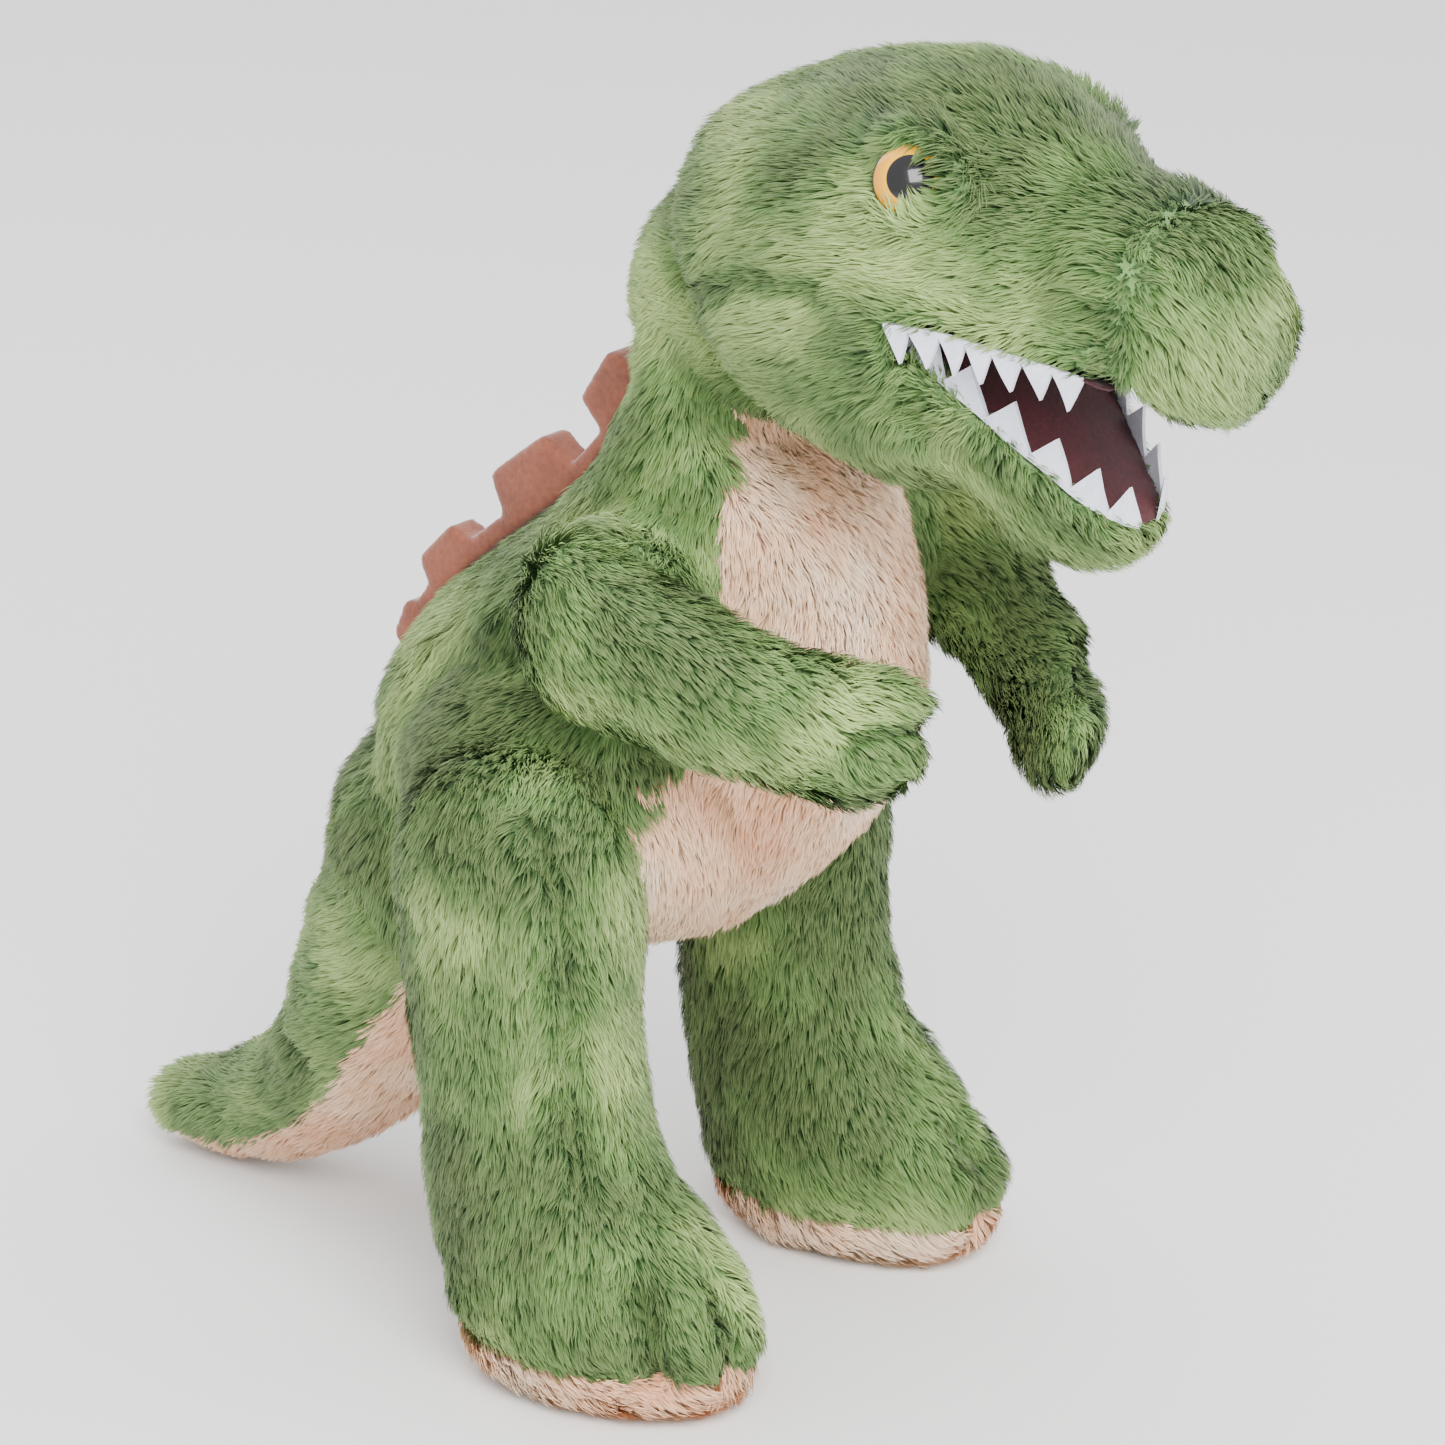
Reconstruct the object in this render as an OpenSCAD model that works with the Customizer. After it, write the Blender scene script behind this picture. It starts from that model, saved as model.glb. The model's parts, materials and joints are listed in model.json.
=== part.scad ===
// Stuffed T-rex: sewn fur-fabric panels over stuffed bodies, felt teeth, safety eyes and a plush back ridge.
// It stands on both soles and the tip of its tail. It faces -Y, with its right side at -X.

/* [Overall] */
// Height of the toy from the floor to the top of the head
toy_h = 390; // [320:1:480]
// Thickness of the fur fabric with its flattened pile
fabric_t = 2.4; // [1.6:0.1:3]
// Gap between the fabric and the stuffing inside it
loft_gap = 0.4; // [0.3:0.1:1]
// Gap between parts that move against each other
joint_gap = 0.6; // [0.4:0.1:1.2]

/* [Head] */
// Width of the head across the cheeks
head_w = 118; // [98:1:142]
// Radius of the stuffed neck end that the head turns on
neck_r = 38; // [31:0.5:46]
// Diameter of the domed safety eyes
eye_d = 20; // [14:0.5:25]
// Diameter of an eye's stem
stem_d = 4; // [3:0.5:6]
// Diameter of the lock washer on an eye's stem
washer_d = 18; // [14:0.5:24]
// Thickness of the lock washer
washer_t = 2; // [1:0.5:3]
// Height of a felt tooth
tooth_h = 11; // [8:0.5:14]
// Thickness of the felt
felt_t = 1.5; // [1:0.1:2.5]
// Number of upper teeth on each side
upper_teeth = 7; // [5:1:9]
// Number of lower teeth on each side
lower_teeth = 6; // [4:1:8]

/* [Body] */
// Width of the body across the flanks
body_w = 132; // [108:1:160]
// Width between the flat sides that the arms lie against
shoulder_w = 112; // [100:1:130]
// Width between the flat sides that the thighs lie against
hip_w = 68; // [56:1:82]

/* [Limbs] */
// Thickness of an arm from its inner to its outer side
arm_w = 36; // [29:1:44]
// Thickness of a leg from its inner to its outer side
leg_w = 64; // [53:1:78]
// How far the left arm hangs below the right one, in degrees
left_arm_drop = 22; // [0:1:30]
// How far the right hand bends in front of the body
right_arm_bend = 16; // [0:1:24]
// How far the left hand bends in front of the body
left_arm_bend = 44; // [0:1:46]
// How much further back the left leg stands
left_leg_back = 8; // [0:1:12]
// Height of the sole's fabric round the foot
sole_h = 15; // [12:1:18]

/* [Tail] */
// Width of the tail at its root
tail_w = 90; // [74:1:108]
// Radius of the stuffed rump end that the tail turns on
rump_r = 42; // [35:0.5:48]

/* [Back ridge] */
// Thickness of a back plate
plate_t = 12; // [9:0.5:16]
// Thickness of the plush that covers the plates
plush_t = 1.8; // [1.2:0.1:2.5]
// Height of the strip that joins the plates
strip_h = 6; // [4:0.5:8]

/* [Hidden] */

// Colours
green = [0.45, 0.60, 0.38];
peach = [0.87, 0.70, 0.56];
rust = [0.60, 0.30, 0.22];
maroon = [0.33, 0.05, 0.09];
felt = [0.86, 0.86, 0.90];
amber = [0.95, 0.65, 0.05];
fibre = [0.93, 0.93, 0.91];
nylon = [0.90, 0.90, 0.85];

// Every table below is drawn for a toy of this height
drawn_h = 390;
k = toy_h / drawn_h;

// Points round a ring, and rings between two rows of a table
around = 24;
step = 360 / around;
between = 2;

// Joint centres, as [y, z] in the middle plane
neck_at = [-4, 308] * k;
rump_at = [96, 124] * k;
shoulder_at = [-4, 226] * k;
hip_at = [30, 150] * k;
// Tilt of the ring that the head is sewn on at, and of the tail's
neck_tilt = 32;
rump_tilt = 43;
// Polar angle of the rim of a moving part, and of the last ring of the round end under it
rim_angle = 74;
end_angle = 104;
pole_angle = 5;
ball_rings = 7;
cup_rings = 5;

// Columns of the rings at which the panels are sewn together. Column 0 is at +X and column 6 at the top
back_j = 6;
belly_j = 14;
belly_n = 8;
gusset_j = 5;
gusset_n = 2;
chin_j = 16;
chin_n = 4;
roof_j = 12;
roof_n = 12;
jaw_j = 11;
jaw_n = 14;

// Recesses in the body, under the shoulders and the thighs
shoulder_r = 36 * k;
thigh_r = 41 * k;
recess_margin = 9 * k;
recess_blend = 24 * k;

// Each row of a table is a ring across a body part:
// [y, z, tilt, width share, reach up, reach down, inward]
// Tilt turns the ring's up direction from +Z towards +Y. Inward is 1 or -1 on a ring that closes an end.
// The rings of the body and the tail run forwards, and those of the head run forwards from the neck.
body_rows = [
    [80, 139, 48, 0.82, 53, 52, 0],
    [62, 156, 53, 0.94, 63, 64, 0],
    [42, 176, 59, 1.00, 66, 74, 0],
    [25, 200, 63, 1.00, 59, 77, 0],
    [12, 226, 64, 0.91, 46, 70, 0],
    [4, 252, 62, 0.78, 36, 58, 0],
    [0, 276, 56, 0.66, 33, 44, 0]];
tail_rows = [
    [229, 15, 0, 0.02, 1, 1, 1],
    [226, 15, 3, 0.19, 9, 9.5, 1],
    [217, 15.5, 5, 0.30, 13.5, 16, 0],
    [203, 17.5, 8, 0.38, 15.5, 18.5, 0],
    [184, 24, 16, 0.48, 18, 22, 0],
    [163, 37, 28, 0.60, 21, 27, 0],
    [144, 57, 40, 0.76, 27, 32, 0],
    [127, 82, 45, 0.92, 34, 38, 0]];
cranium_rows = [
    [-17, 319, 24, 0.88, 48, 50, 0],
    [-34, 321, 15, 0.97, 55, 56, 0],
    [-52, 322, 7, 1.00, 61, 59, 0],
    [-70, 323, 2, 0.99, 63, 59, 0],
    [-84, 323, 0, 0.93, 61, 57, 0]];
snout_rows = [
    [-84, 323, 0, 0.93, 61, 3, 0],
    [-97, 321, -2, 0.83, 56, 4, 0],
    [-111, 318, -4, 0.73, 50, 5, 0],
    [-125, 314, -5, 0.63, 44, 5, 0],
    [-138, 309, -4, 0.55, 41, 5, 0]];
nose_rows = [
    [-138, 309, -4, 0.55, 41, 5, 0],
    [-145, 316, -2, 0.53, 35, 20, 0],
    [-153, 319, 0, 0.50, 32, 25, 0],
    [-161, 319, 0, 0.43, 26, 23, 0],
    [-167.5, 319, 0, 0.27, 16, 14, -1],
    [-170, 319, 0, 0.02, 1, 1, -1]];
jaw_rows = [
    [-84, 313, 0, 0.80, 4, 47, 0],
    [-92, 301, -4, 0.64, 5, 43, 0],
    [-101, 290, -10, 0.52, 5, 39, 0],
    [-112, 279, -14, 0.41, 5, 33, 0],
    [-122, 270, -16, 0.30, 5, 24, 0],
    [-130, 264, -16, 0.18, 4, 13, -1],
    [-133, 262, -16, 0.02, 1, 1, -1]];
// An arm's middle plane is its own x = 0, and its width share is of arm_w
arm_rows = [
    [24, 229, 0, 0.10, 3, 3, 1],
    [20, 229, 0, 0.60, 17, 18, 1],
    [8, 229, 2, 0.94, 27, 28, 0],
    [-14, 225, 7, 1.00, 28, 28, 0],
    [-38, 219, 10, 0.98, 26, 25, 0],
    [-60, 214, 6, 0.94, 23, 22, 0],
    [-80, 212, -2, 0.96, 22, 22, 0],
    [-94, 212, -6, 0.84, 19, 19, -1],
    [-102, 213, -6, 0.50, 12, 11, -1],
    [-105, 213, -6, 0.08, 2, 2, -1]];
// A foot's and a leg's rows lie flat: up is towards the heel, down is towards the toes
foot_rows = [
    [5, 0, 90, 0.04, 2, 2, 1],
    [5, 0, 90, 0.42, 19, 23, 1],
    [5, 0, 90, 0.73, 33, 39, 1],
    [5, 5, 90, 0.93, 42, 49, 0.6],
    [5, 15, 90, 1.04, 47, 55, 0]];
drawn_sole_h = foot_rows[len(foot_rows) - 1][1];
leg_rows = [
    [8, 30, 90, 1.06, 48, 58, 0],
    [14, 46, 90, 1.02, 45, 53, 0],
    [22, 64, 90, 0.97, 40, 40, 0],
    [26, 86, 90, 0.95, 37, 35, 0],
    [29, 112, 90, 0.98, 38, 35, 0],
    [30, 138, 90, 1.00, 40, 37, 0],
    [30, 160, 90, 0.98, 39, 37, 0],
    [30, 176, 90, 0.82, 31, 30, 0],
    [30, 187, 90, 0.50, 18, 18, -1],
    [30, 190, 90, 0.04, 2, 2, -1]];

// Back plates, as [share along the back, height, length at the base, length at the top]
plates = [
    [0.10, 17, 26, 19],
    [0.36, 18, 33, 25],
    [0.62, 13, 24, 17],
    [0.81, 10, 18, 12],
    [0.94, 8, 13, 8]];
plate_round = 2;
// How many rings below the head's rim the ridge ends
ridge_stop = 4;

// The eyes, as [share of head width, y, z], and how they turn outwards and up
eye_at = [0.365, -84 * k, 359 * k];
eye_turn = 34;
eye_pitch = 22;
eye_dome = 0.32;
stem_l = 14;

// Length of an arm, from the back of the shoulder to the hand's tip
arm_l = (arm_rows[0][0] - arm_rows[len(arm_rows) - 1][0]) * k;
// Share of the arm, beside the body, that stays straight
arm_straight = 0.34;

// Height of the felt between two teeth, and of the ankle
tooth_root = 1.5;
ankle_z = 70 * k;

// The middle of the outline along Y, which the whole toy is centred on
y_mid = (tail_rows[0][0] + nose_rows[len(nose_rows) - 1][0]) * k / 2;

// ---- curves and rings ----

function eased(t) = t <= 0 ? 0 : t >= 1 ? 1 : t * t * (3 - 2 * t);

// A row on the smooth curve through the rows, at place t
function curve(rows, t) =
    let (last = len(rows) - 1, i = min(floor(t), last - 1), f = t - i,
         a = rows[max(i - 1, 0)], b = rows[i], c = rows[i + 1], d = rows[min(i + 2, last)])
    0.5 * (2 * b + (c - a) * f + (2 * a - 5 * b + 4 * c - d) * f * f + (3 * b - a - 3 * c + d) * f * f * f);

function smooth(rows, n = between) = [for (i = [0 : (len(rows) - 1) * n]) curve(rows, i / n)];

// Rows of a table at the toy's own size
function sized(rows, width) =
    [for (r = rows) [r[0] * k, r[1] * k, r[2], r[3] * width / 2, r[4] * k, r[5] * k, r[6]]];

// Rings on a ball round a joint centre, from one polar angle to another
function ball_rows(at, tilt, r, a0, a1, n, side) =
    [for (i = [0 : n]) let (a = a0 + (a1 - a0) * i / n, f = r * cos(a) * side)
        [at[0] - f * cos(tilt), at[1] + f * sin(tilt), tilt, r * sin(a), r * sin(a), r * sin(a), 0]];

function ring_point(row, a, inset) =
    let (reach = max((sin(a) >= 0 ? row[4] : row[5]) - inset, 0.2) * sin(a), shift = row[6] * inset)
    [max(row[3] - inset, 0.2) * cos(a),
     row[0] + reach * sin(row[2]) - shift * cos(row[2]),
     row[1] + reach * cos(row[2]) + shift * sin(row[2])];

function grid(rows, inset = 0, skip = 1) =
    [for (row = rows) [for (j = [0 : skip : around - 1]) ring_point(row, j * step, inset)]];

function part_of(g, i0, i1, j0, j1) = [for (i = [i0 : i1]) [for (j = [j0 : j1]) g[i][j % len(g[i])]]];

function from_row(rows, first) = [for (i = [first : len(rows) - 1]) rows[i]];

// ---- solids ----

// A closed solid through all rings, with a flat fan at each end
module solid(g) {
    n = len(g);
    m = len(g[0]);
    faces = concat(
        [for (i = [0 : n - 2], j = [0 : m - 1]) let (a = i * m + j, b = i * m + (j + 1) % m) [a, a + m, b]],
        [for (i = [0 : n - 2], j = [0 : m - 1]) let (a = i * m + j, b = i * m + (j + 1) % m) [b, a + m, b + m]],
        [for (j = [1 : m - 2]) [0, j, j + 1]],
        [for (j = [1 : m - 2]) [(n - 1) * m, (n - 1) * m + j + 1, (n - 1) * m + j]]);
    polyhedron([for (ring = g) each ring], faces);
}

// A sheet between an outer and an inner grid. It is open along its rings, or closed all the way round
module sheet(outer, inner, closed = false) {
    n = len(outer);
    m = len(outer[0]);
    low = n * m;
    last = closed ? m - 1 : m - 2;
    skin = [for (i = [0 : n - 2], j = [0 : last]) let (a = i * m + j, b = i * m + (j + 1) % m)
        each [[a, a + m, b], [b, a + m, b + m]]];
    lining = [for (f = skin) [low + f[0], low + f[2], low + f[1]]];
    start_edge = [for (j = [0 : last]) let (b = (j + 1) % m) each [[j, b, low + b], [j, low + b, low + j]]];
    far_edge = [for (f = start_edge) let (up = (n - 1) * m) [f[0] + up, f[2] + up, f[1] + up]];
    side = [for (i = [0 : n - 2]) let (a = i * m, b = a + m)
        each [[a, low + b, b], [a, low + a, low + b]]];
    other_side = [for (f = side) let (over = m - 1) [f[0] + over, f[2] + over, f[1] + over]];
    edges = closed ? concat(start_edge, far_edge) : concat(start_edge, far_edge, side, other_side);
    polyhedron([for (ring = concat(outer, inner)) each ring], concat(skin, lining, edges));
}

// Everything is drawn from the middle of the feet and then centred on the outline
module centred() { translate([0, -y_mid, 0]) children(); }

module turned_about(hub, angle) {
    translate([0, hub[0], hub[1]]) rotate([angle, 0, 0]) translate([0, -hub[0], -hub[1]]) children();
}

// ---- body ----

// How far out the body may reach at a point p, beside the flat side that a limb turns against
function reach_by(p, hub, r, half) =
    let (far = norm([p[1] - hub[0], p[2] - hub[1]]))
    half + eased((far - r) / recess_blend) * (body_w / 2 + fabric_t - half);

body_table = concat(
    ball_rows(rump_at, rump_tilt, rump_r, pole_angle, 90, ball_rings, -1),
    smooth(sized(body_rows, body_w)),
    ball_rows(neck_at, neck_tilt, neck_r, end_angle, pole_angle, ball_rings, 1));

function hip_of(x) = hip_at + [x > 0 ? left_leg_back * k : 0, 0];

body_round = grid(body_table);
body_reach = [for (ring = body_round) [for (p = ring) min(
    reach_by(p, shoulder_at, shoulder_r + recess_margin, shoulder_w / 2 - joint_gap),
    reach_by(p, hip_of(p[0]), thigh_r + recess_margin, hip_w / 2 - joint_gap))]];

function body_grid(inset) =
    let (rings = grid(body_table, inset))
    [for (i = [0 : len(rings) - 1]) [for (j = [0 : around - 1]) let (p = rings[i][j])
        [sign(p[0]) * min(abs(p[0]), body_reach[i][j] - inset), p[1], p[2]]]];

body_skin = body_grid(0);
body_lining = body_grid(fabric_t);
// The fabric lies between the rims of the tail and the head
first_body_ring = ball_rings - 1;
last_body_ring = len(body_table) - ball_rings + 1;
// The chest's fabric is tucked in under the throat
throat_ring = last_body_ring - 3;

module body_panel(j0, j1, last = last_body_ring) {
    centred() sheet(part_of(body_skin, first_body_ring, last, j0, j1),
                    part_of(body_lining, first_body_ring, last, j0, j1));
}

module back_panel_right() { color(green) body_panel(back_j, belly_j); }
module belly_panel() { color(peach) body_panel(belly_j, belly_j + belly_n, throat_ring); }
module back_panel_left() { color(green) body_panel(belly_j + belly_n, back_j + around); }
module body_stuffing() { color(fibre) centred() solid(body_grid(fabric_t + loft_gap)); }

// ---- back ridge ----

ridge_line = [for (i = [first_body_ring + 1 : last_body_ring - ridge_stop])
    [body_skin[i][back_j][1], body_skin[i][back_j][2]]];

// A place on the ridge line, from 0 at the neck to 1 at the rump, as [point, direction]
function on_ridge(share) =
    let (last = len(ridge_line) - 1, t = (1 - share) * last, i = min(floor(t), last - 1), a = ridge_line[i],
         b = ridge_line[i + 1])
    [a + (b - a) * (t - i), (b - a) / norm(b - a)];

function outwards(along) = [along[1], -along[0]];

module ridge_profile() {
    outer = [for (i = [0 : len(ridge_line) - 1])
        let (share = 1 - i / (len(ridge_line) - 1)) ridge_line[i] + outwards(on_ridge(share)[1]) * strip_h];
    offset(r = plate_round * k) offset(delta = -plate_round * k) {
        polygon(concat(ridge_line, [for (i = [len(outer) - 1 : -1 : 0]) outer[i]]));
        for (plate = plates) {
            spot = on_ridge(plate[0]);
            up = outwards(spot[1]);
            foot = spot[0] + up * strip_h / 2;
            head = spot[0] + up * plate[1] * k;
            polygon([
                foot - spot[1] * plate[2] * k / 2, foot + spot[1] * plate[2] * k / 2,
                head + spot[1] * plate[3] * k / 2, head - spot[1] * plate[3] * k / 2]);
        }
    }
}

// The profile stands in the middle plane, with this much thickness
module upright(thick) {
    centred() rotate([90, 0, 90]) translate([0, 0, -thick / 2]) linear_extrude(thick) children();
}

module back_ridge() {
    color(rust) difference() {
        upright(plate_t) ridge_profile();
        upright(plate_t - 2 * plush_t) offset(delta = -plush_t) ridge_profile();
    }
}
module ridge_stuffing() {
    fill = plush_t + loft_gap;
    color(fibre) upright(plate_t - 2 * fill) offset(delta = -fill) ridge_profile();
}

// ---- head ----

// A hollow has flat facets that reach in, so it is drawn this much larger than the ball that turns in it
hollow = 1 / (cos(180 / (around / 2)) * cos((rim_angle - pole_angle) / cup_rings / 2));

function cup_rows(at, tilt, r, from_angle, to_angle, side) =
    ball_rows(at, tilt, (r + joint_gap) * hollow, from_angle, to_angle, cup_rings, side);

// The ring on which a moving part's fabric starts, round the rim of its hollow
function rim_row(at, tilt, r, side) =
    let (rim = cup_rows(at, tilt, r, rim_angle, rim_angle, side)[0], reach = rim[3] + fabric_t + 1)
    [rim[0], rim[1], tilt, reach, reach, reach, 0];

cranium_table = smooth(concat([rim_row(neck_at, neck_tilt, neck_r, 1)], sized(cranium_rows, head_w)));
snout_table = smooth(sized(snout_rows, head_w));
nose_table = smooth(sized(nose_rows, head_w));
jaw_table = smooth(sized(jaw_rows, head_w));

module panel(table, j0, j1) {
    outer = grid(table);
    inner = grid(table, fabric_t);
    last = len(table) - 1;
    centred() sheet(part_of(outer, 0, last, j0, j1), part_of(inner, 0, last, j0, j1));
}

module head_gusset() {
    color(green) {
        panel(cranium_table, gusset_j, gusset_j + gusset_n);
        panel(snout_table, gusset_j, gusset_j + gusset_n);
    }
}
module head_side_right() {
    color(green) {
        panel(cranium_table, gusset_j + gusset_n, chin_j);
        panel(snout_table, gusset_j + gusset_n, roof_j);
    }
}
module head_side_left() { mirror([1, 0, 0]) head_side_right(); }
module nose_panel() { color(green) centred() sheet(grid(nose_table), grid(nose_table, fabric_t), true); }
module chin_panel() {
    color(green) {
        panel(cranium_table, chin_j, chin_j + chin_n);
        panel(jaw_table, jaw_j, jaw_j + jaw_n);
    }
}
module mouth_roof_lining() { color(maroon) panel(snout_table, roof_j, roof_j + roof_n); }
module mouth_floor_lining() { color(maroon) panel(jaw_table, jaw_j + jaw_n, jaw_j + around); }

module head_stuffing() {
    inset = fabric_t + loft_gap;
    cup = cup_rows(neck_at, neck_tilt, neck_r, pole_angle, rim_angle, 1);
    face = concat(snout_table, from_row(nose_table, 1));
    color(fibre) centred() {
        solid(concat(grid(cup, 0, 2), grid(cranium_table, inset, 2)));
        solid(grid(face, inset, 2));
    }
}
module jaw_stuffing() { color(fibre) centred() solid(grid(jaw_table, fabric_t + loft_gap, 2)); }

// A zigzag strip of felt along column j of a table's rings, with its teeth along the direction given
module tooth_strip(table, j, count, along, inner) {
    line = [for (ring = grid(table)) ring[j]];
    last = len(line) - 2;
    function spot(t) = let (i = min(floor(t), last - 1), f = t - i) line[i] + (line[i + 1] - line[i]) * f;
    edge = [for (i = [0 : 2 * count]) spot(i / (2 * count) * last)];
    tips = [for (i = [0 : 2 * count]) edge[i] + along * (i % 2 == 1 ? tooth_h * k : tooth_root)];
    outer = [edge, tips];
    behind = [for (row = outer) [for (p = row) p + inner * felt_t]];
    centred() sheet(outer, behind);
}
module upper_teeth_strip() {
    color(felt) {
        tooth_strip(snout_table, roof_j, upper_teeth, [0.1, 0, -1], [1, 0, 0]);
        mirror([1, 0, 0]) tooth_strip(snout_table, roof_j, upper_teeth, [0.1, 0, -1], [1, 0, 0]);
    }
}
module lower_teeth_strip() {
    color(felt) {
        tooth_strip(jaw_table, jaw_j, lower_teeth, [0, -0.2, 1], [1, 0, 0]);
        mirror([1, 0, 0]) tooth_strip(jaw_table, jaw_j, lower_teeth, [0, -0.2, 1], [1, 0, 0]);
    }
}

// ---- eyes ----

// Stands its children on the right eye's seat, with +Z out of the head
module at_eye() {
    centred() translate([-eye_at[0] * head_w, eye_at[1], eye_at[2]])
        rotate([0, 0, eye_turn]) rotate([0, -90 + eye_pitch, 0]) children();
}
module eye() {
    r = eye_d / 2;
    h = eye_d * eye_dome;
    ball = (r * r + h * h) / (2 * h);
    rotate_extrude($fn = 48) intersection() {
        translate([0, h - ball]) circle(ball, $fn = 96);
        square([r, h]);
    }
    translate([0, 0, -stem_l]) cylinder(d = stem_d, h = stem_l + 1, $fn = 24);
}
module eye_washer() {
    translate([0, 0, -stem_l / 2]) difference() {
        cylinder(d = washer_d, h = washer_t, $fn = 36);
        translate([0, 0, -1]) cylinder(d = stem_d + 0.1, h = washer_t + 2, $fn = 24);
    }
}
module eye_right() { color(amber) at_eye() eye(); }
module eye_left() { color(amber) mirror([1, 0, 0]) at_eye() eye(); }
module eye_washer_right() { color(nylon) at_eye() eye_washer(); }
module eye_washer_left() { color(nylon) mirror([1, 0, 0]) at_eye() eye_washer(); }

// ---- arms ----

// A right arm starts outside the flat side of the body, at -X, and bends inwards towards the hand
function bent(y, bend) =
    let (share = max((arm_rows[0][0] * k - y) / arm_l - arm_straight, 0) / (1 - arm_straight)) bend * share * share;

function arm_grid(bend, inset, skip = 1) =
    [for (ring = grid(smooth(sized(arm_rows, arm_w)), inset, skip)) [for (p = ring)
        [min(p[0] - (shoulder_w + arm_w) / 2, -shoulder_w / 2 - inset) + bent(p[1], bend), p[1], p[2]]]];

module arm_panel(bend, j0, j1) {
    outer = arm_grid(bend, 0);
    inner = arm_grid(bend, fabric_t);
    centred() sheet(part_of(outer, 0, len(outer) - 1, j0, j1), part_of(inner, 0, len(inner) - 1, j0, j1));
}
module arm_outer(bend) { color(green) arm_panel(bend, back_j, back_j + around / 2); }
module arm_inner(bend) { color(green) arm_panel(bend, back_j + around / 2, back_j + around); }
module arm_stuffing(bend) { color(fibre) centred() solid(arm_grid(bend, fabric_t + loft_gap, 2)); }
module left_arm() {
    mirror([1, 0, 0]) turned_about([shoulder_at[0] - y_mid, shoulder_at[1]], left_arm_drop) children();
}

module arm_outer_right() { arm_outer(right_arm_bend); }
module arm_inner_right() { arm_inner(right_arm_bend); }
module arm_stuffing_right() { arm_stuffing(right_arm_bend); }
module arm_outer_left() { left_arm() arm_outer(left_arm_bend); }
module arm_inner_left() { left_arm() arm_inner(left_arm_bend); }
module arm_stuffing_left() { left_arm() arm_stuffing(left_arm_bend); }

// ---- legs ----

function beside(g) = [for (ring = g) [for (p = ring) [p[0] - (hip_w + leg_w) / 2, p[1], p[2]]]];
// Above the ankle a leg stays outside the flat side of the body
function leg_clear(g, inset) = [for (ring = g) [for (p = ring)
    p[2] < ankle_z ? p : [min(p[0], -hip_w / 2 - inset), p[1], p[2]]]];

// The foot's rows at the height of the sole
soled_rows = [for (r = foot_rows) [r[0], r[1] * sole_h / drawn_sole_h, r[2], r[3], r[4], r[5], r[6]]];
foot_table = smooth(sized(soled_rows, leg_w));
leg_table = smooth(sized(concat([soled_rows[len(soled_rows) - 1]], leg_rows), leg_w));

module leg_panel(j0, j1) {
    last = len(leg_table) - 1;
    outer = leg_clear(beside(grid(leg_table)), 0);
    inner = leg_clear(beside(grid(leg_table, fabric_t)), fabric_t);
    centred() sheet(part_of(outer, 0, last, j0, j1), part_of(inner, 0, last, j0, j1));
}
module leg_outer_right() { color(green) leg_panel(back_j, back_j + around / 2); }
module leg_inner_right() { color(green) leg_panel(back_j + around / 2, back_j + around); }
module sole_right() {
    color(peach) centred() sheet(beside(grid(foot_table)), beside(grid(foot_table, fabric_t)), true);
}
module leg_stuffing_right() {
    inset = fabric_t + loft_gap;
    table = concat(foot_table, from_row(leg_table, 1));
    color(fibre) centred() solid(leg_clear(beside(grid(table, inset, 2)), inset));
}
module left_leg() { translate([0, left_leg_back * k, 0]) mirror([1, 0, 0]) children(); }
module leg_outer_left() { left_leg() leg_outer_right(); }
module leg_inner_left() { left_leg() leg_inner_right(); }
module sole_left() { left_leg() sole_right(); }
module leg_stuffing_left() { left_leg() leg_stuffing_right(); }

// ---- tail ----

tail_table = smooth(concat(sized(tail_rows, tail_w), [rim_row(rump_at, rump_tilt, rump_r, -1)]));

function grounded(g, z) = [for (ring = g) [for (p = ring) [p[0], p[1], max(p[2], z)]]];

tail_skin = grounded(grid(tail_table), 0);
tail_lining = grounded(grid(tail_table, fabric_t), fabric_t);

module tail_panel(j0, j1) {
    last = len(tail_table) - 1;
    centred() sheet(part_of(tail_skin, 0, last, j0, j1), part_of(tail_lining, 0, last, j0, j1));
}
module tail_top_right() { color(green) tail_panel(back_j, belly_j); }
module tail_underside() { color(peach) tail_panel(belly_j, belly_j + belly_n); }
module tail_top_left() { color(green) tail_panel(belly_j + belly_n, back_j + around); }
module tail_stuffing() {
    inset = fabric_t + loft_gap;
    cup = cup_rows(rump_at, rump_tilt, rump_r, rim_angle, pole_angle, -1);
    color(fibre) centred() solid(concat(grounded(grid(tail_table, inset, 2), inset), grid(cup, 0, 2)));
}

head_gusset();
head_side_right();
head_side_left();
nose_panel();
chin_panel();
mouth_roof_lining();
mouth_floor_lining();
upper_teeth_strip();
lower_teeth_strip();
eye_right();
eye_left();
eye_washer_right();
eye_washer_left();
head_stuffing();
jaw_stuffing();
back_panel_right();
back_panel_left();
belly_panel();
body_stuffing();
back_ridge();
ridge_stuffing();
arm_outer_right();
arm_inner_right();
arm_stuffing_right();
arm_outer_left();
arm_inner_left();
arm_stuffing_left();
leg_outer_right();
leg_inner_right();
sole_right();
leg_stuffing_right();
leg_outer_left();
leg_inner_left();
sole_left();
leg_stuffing_left();
tail_top_right();
tail_top_left();
tail_underside();
tail_stuffing();
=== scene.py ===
"""Looks of the plush tyrannosaur: sewn fabric, combed fur, felt teeth, glassy eyes and plush back plates."""

import json
import math

import bpy
import numpy as np
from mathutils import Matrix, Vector
from mathutils.bvhtree import BVHTree
from mathutils.kdtree import KDTree


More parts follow.
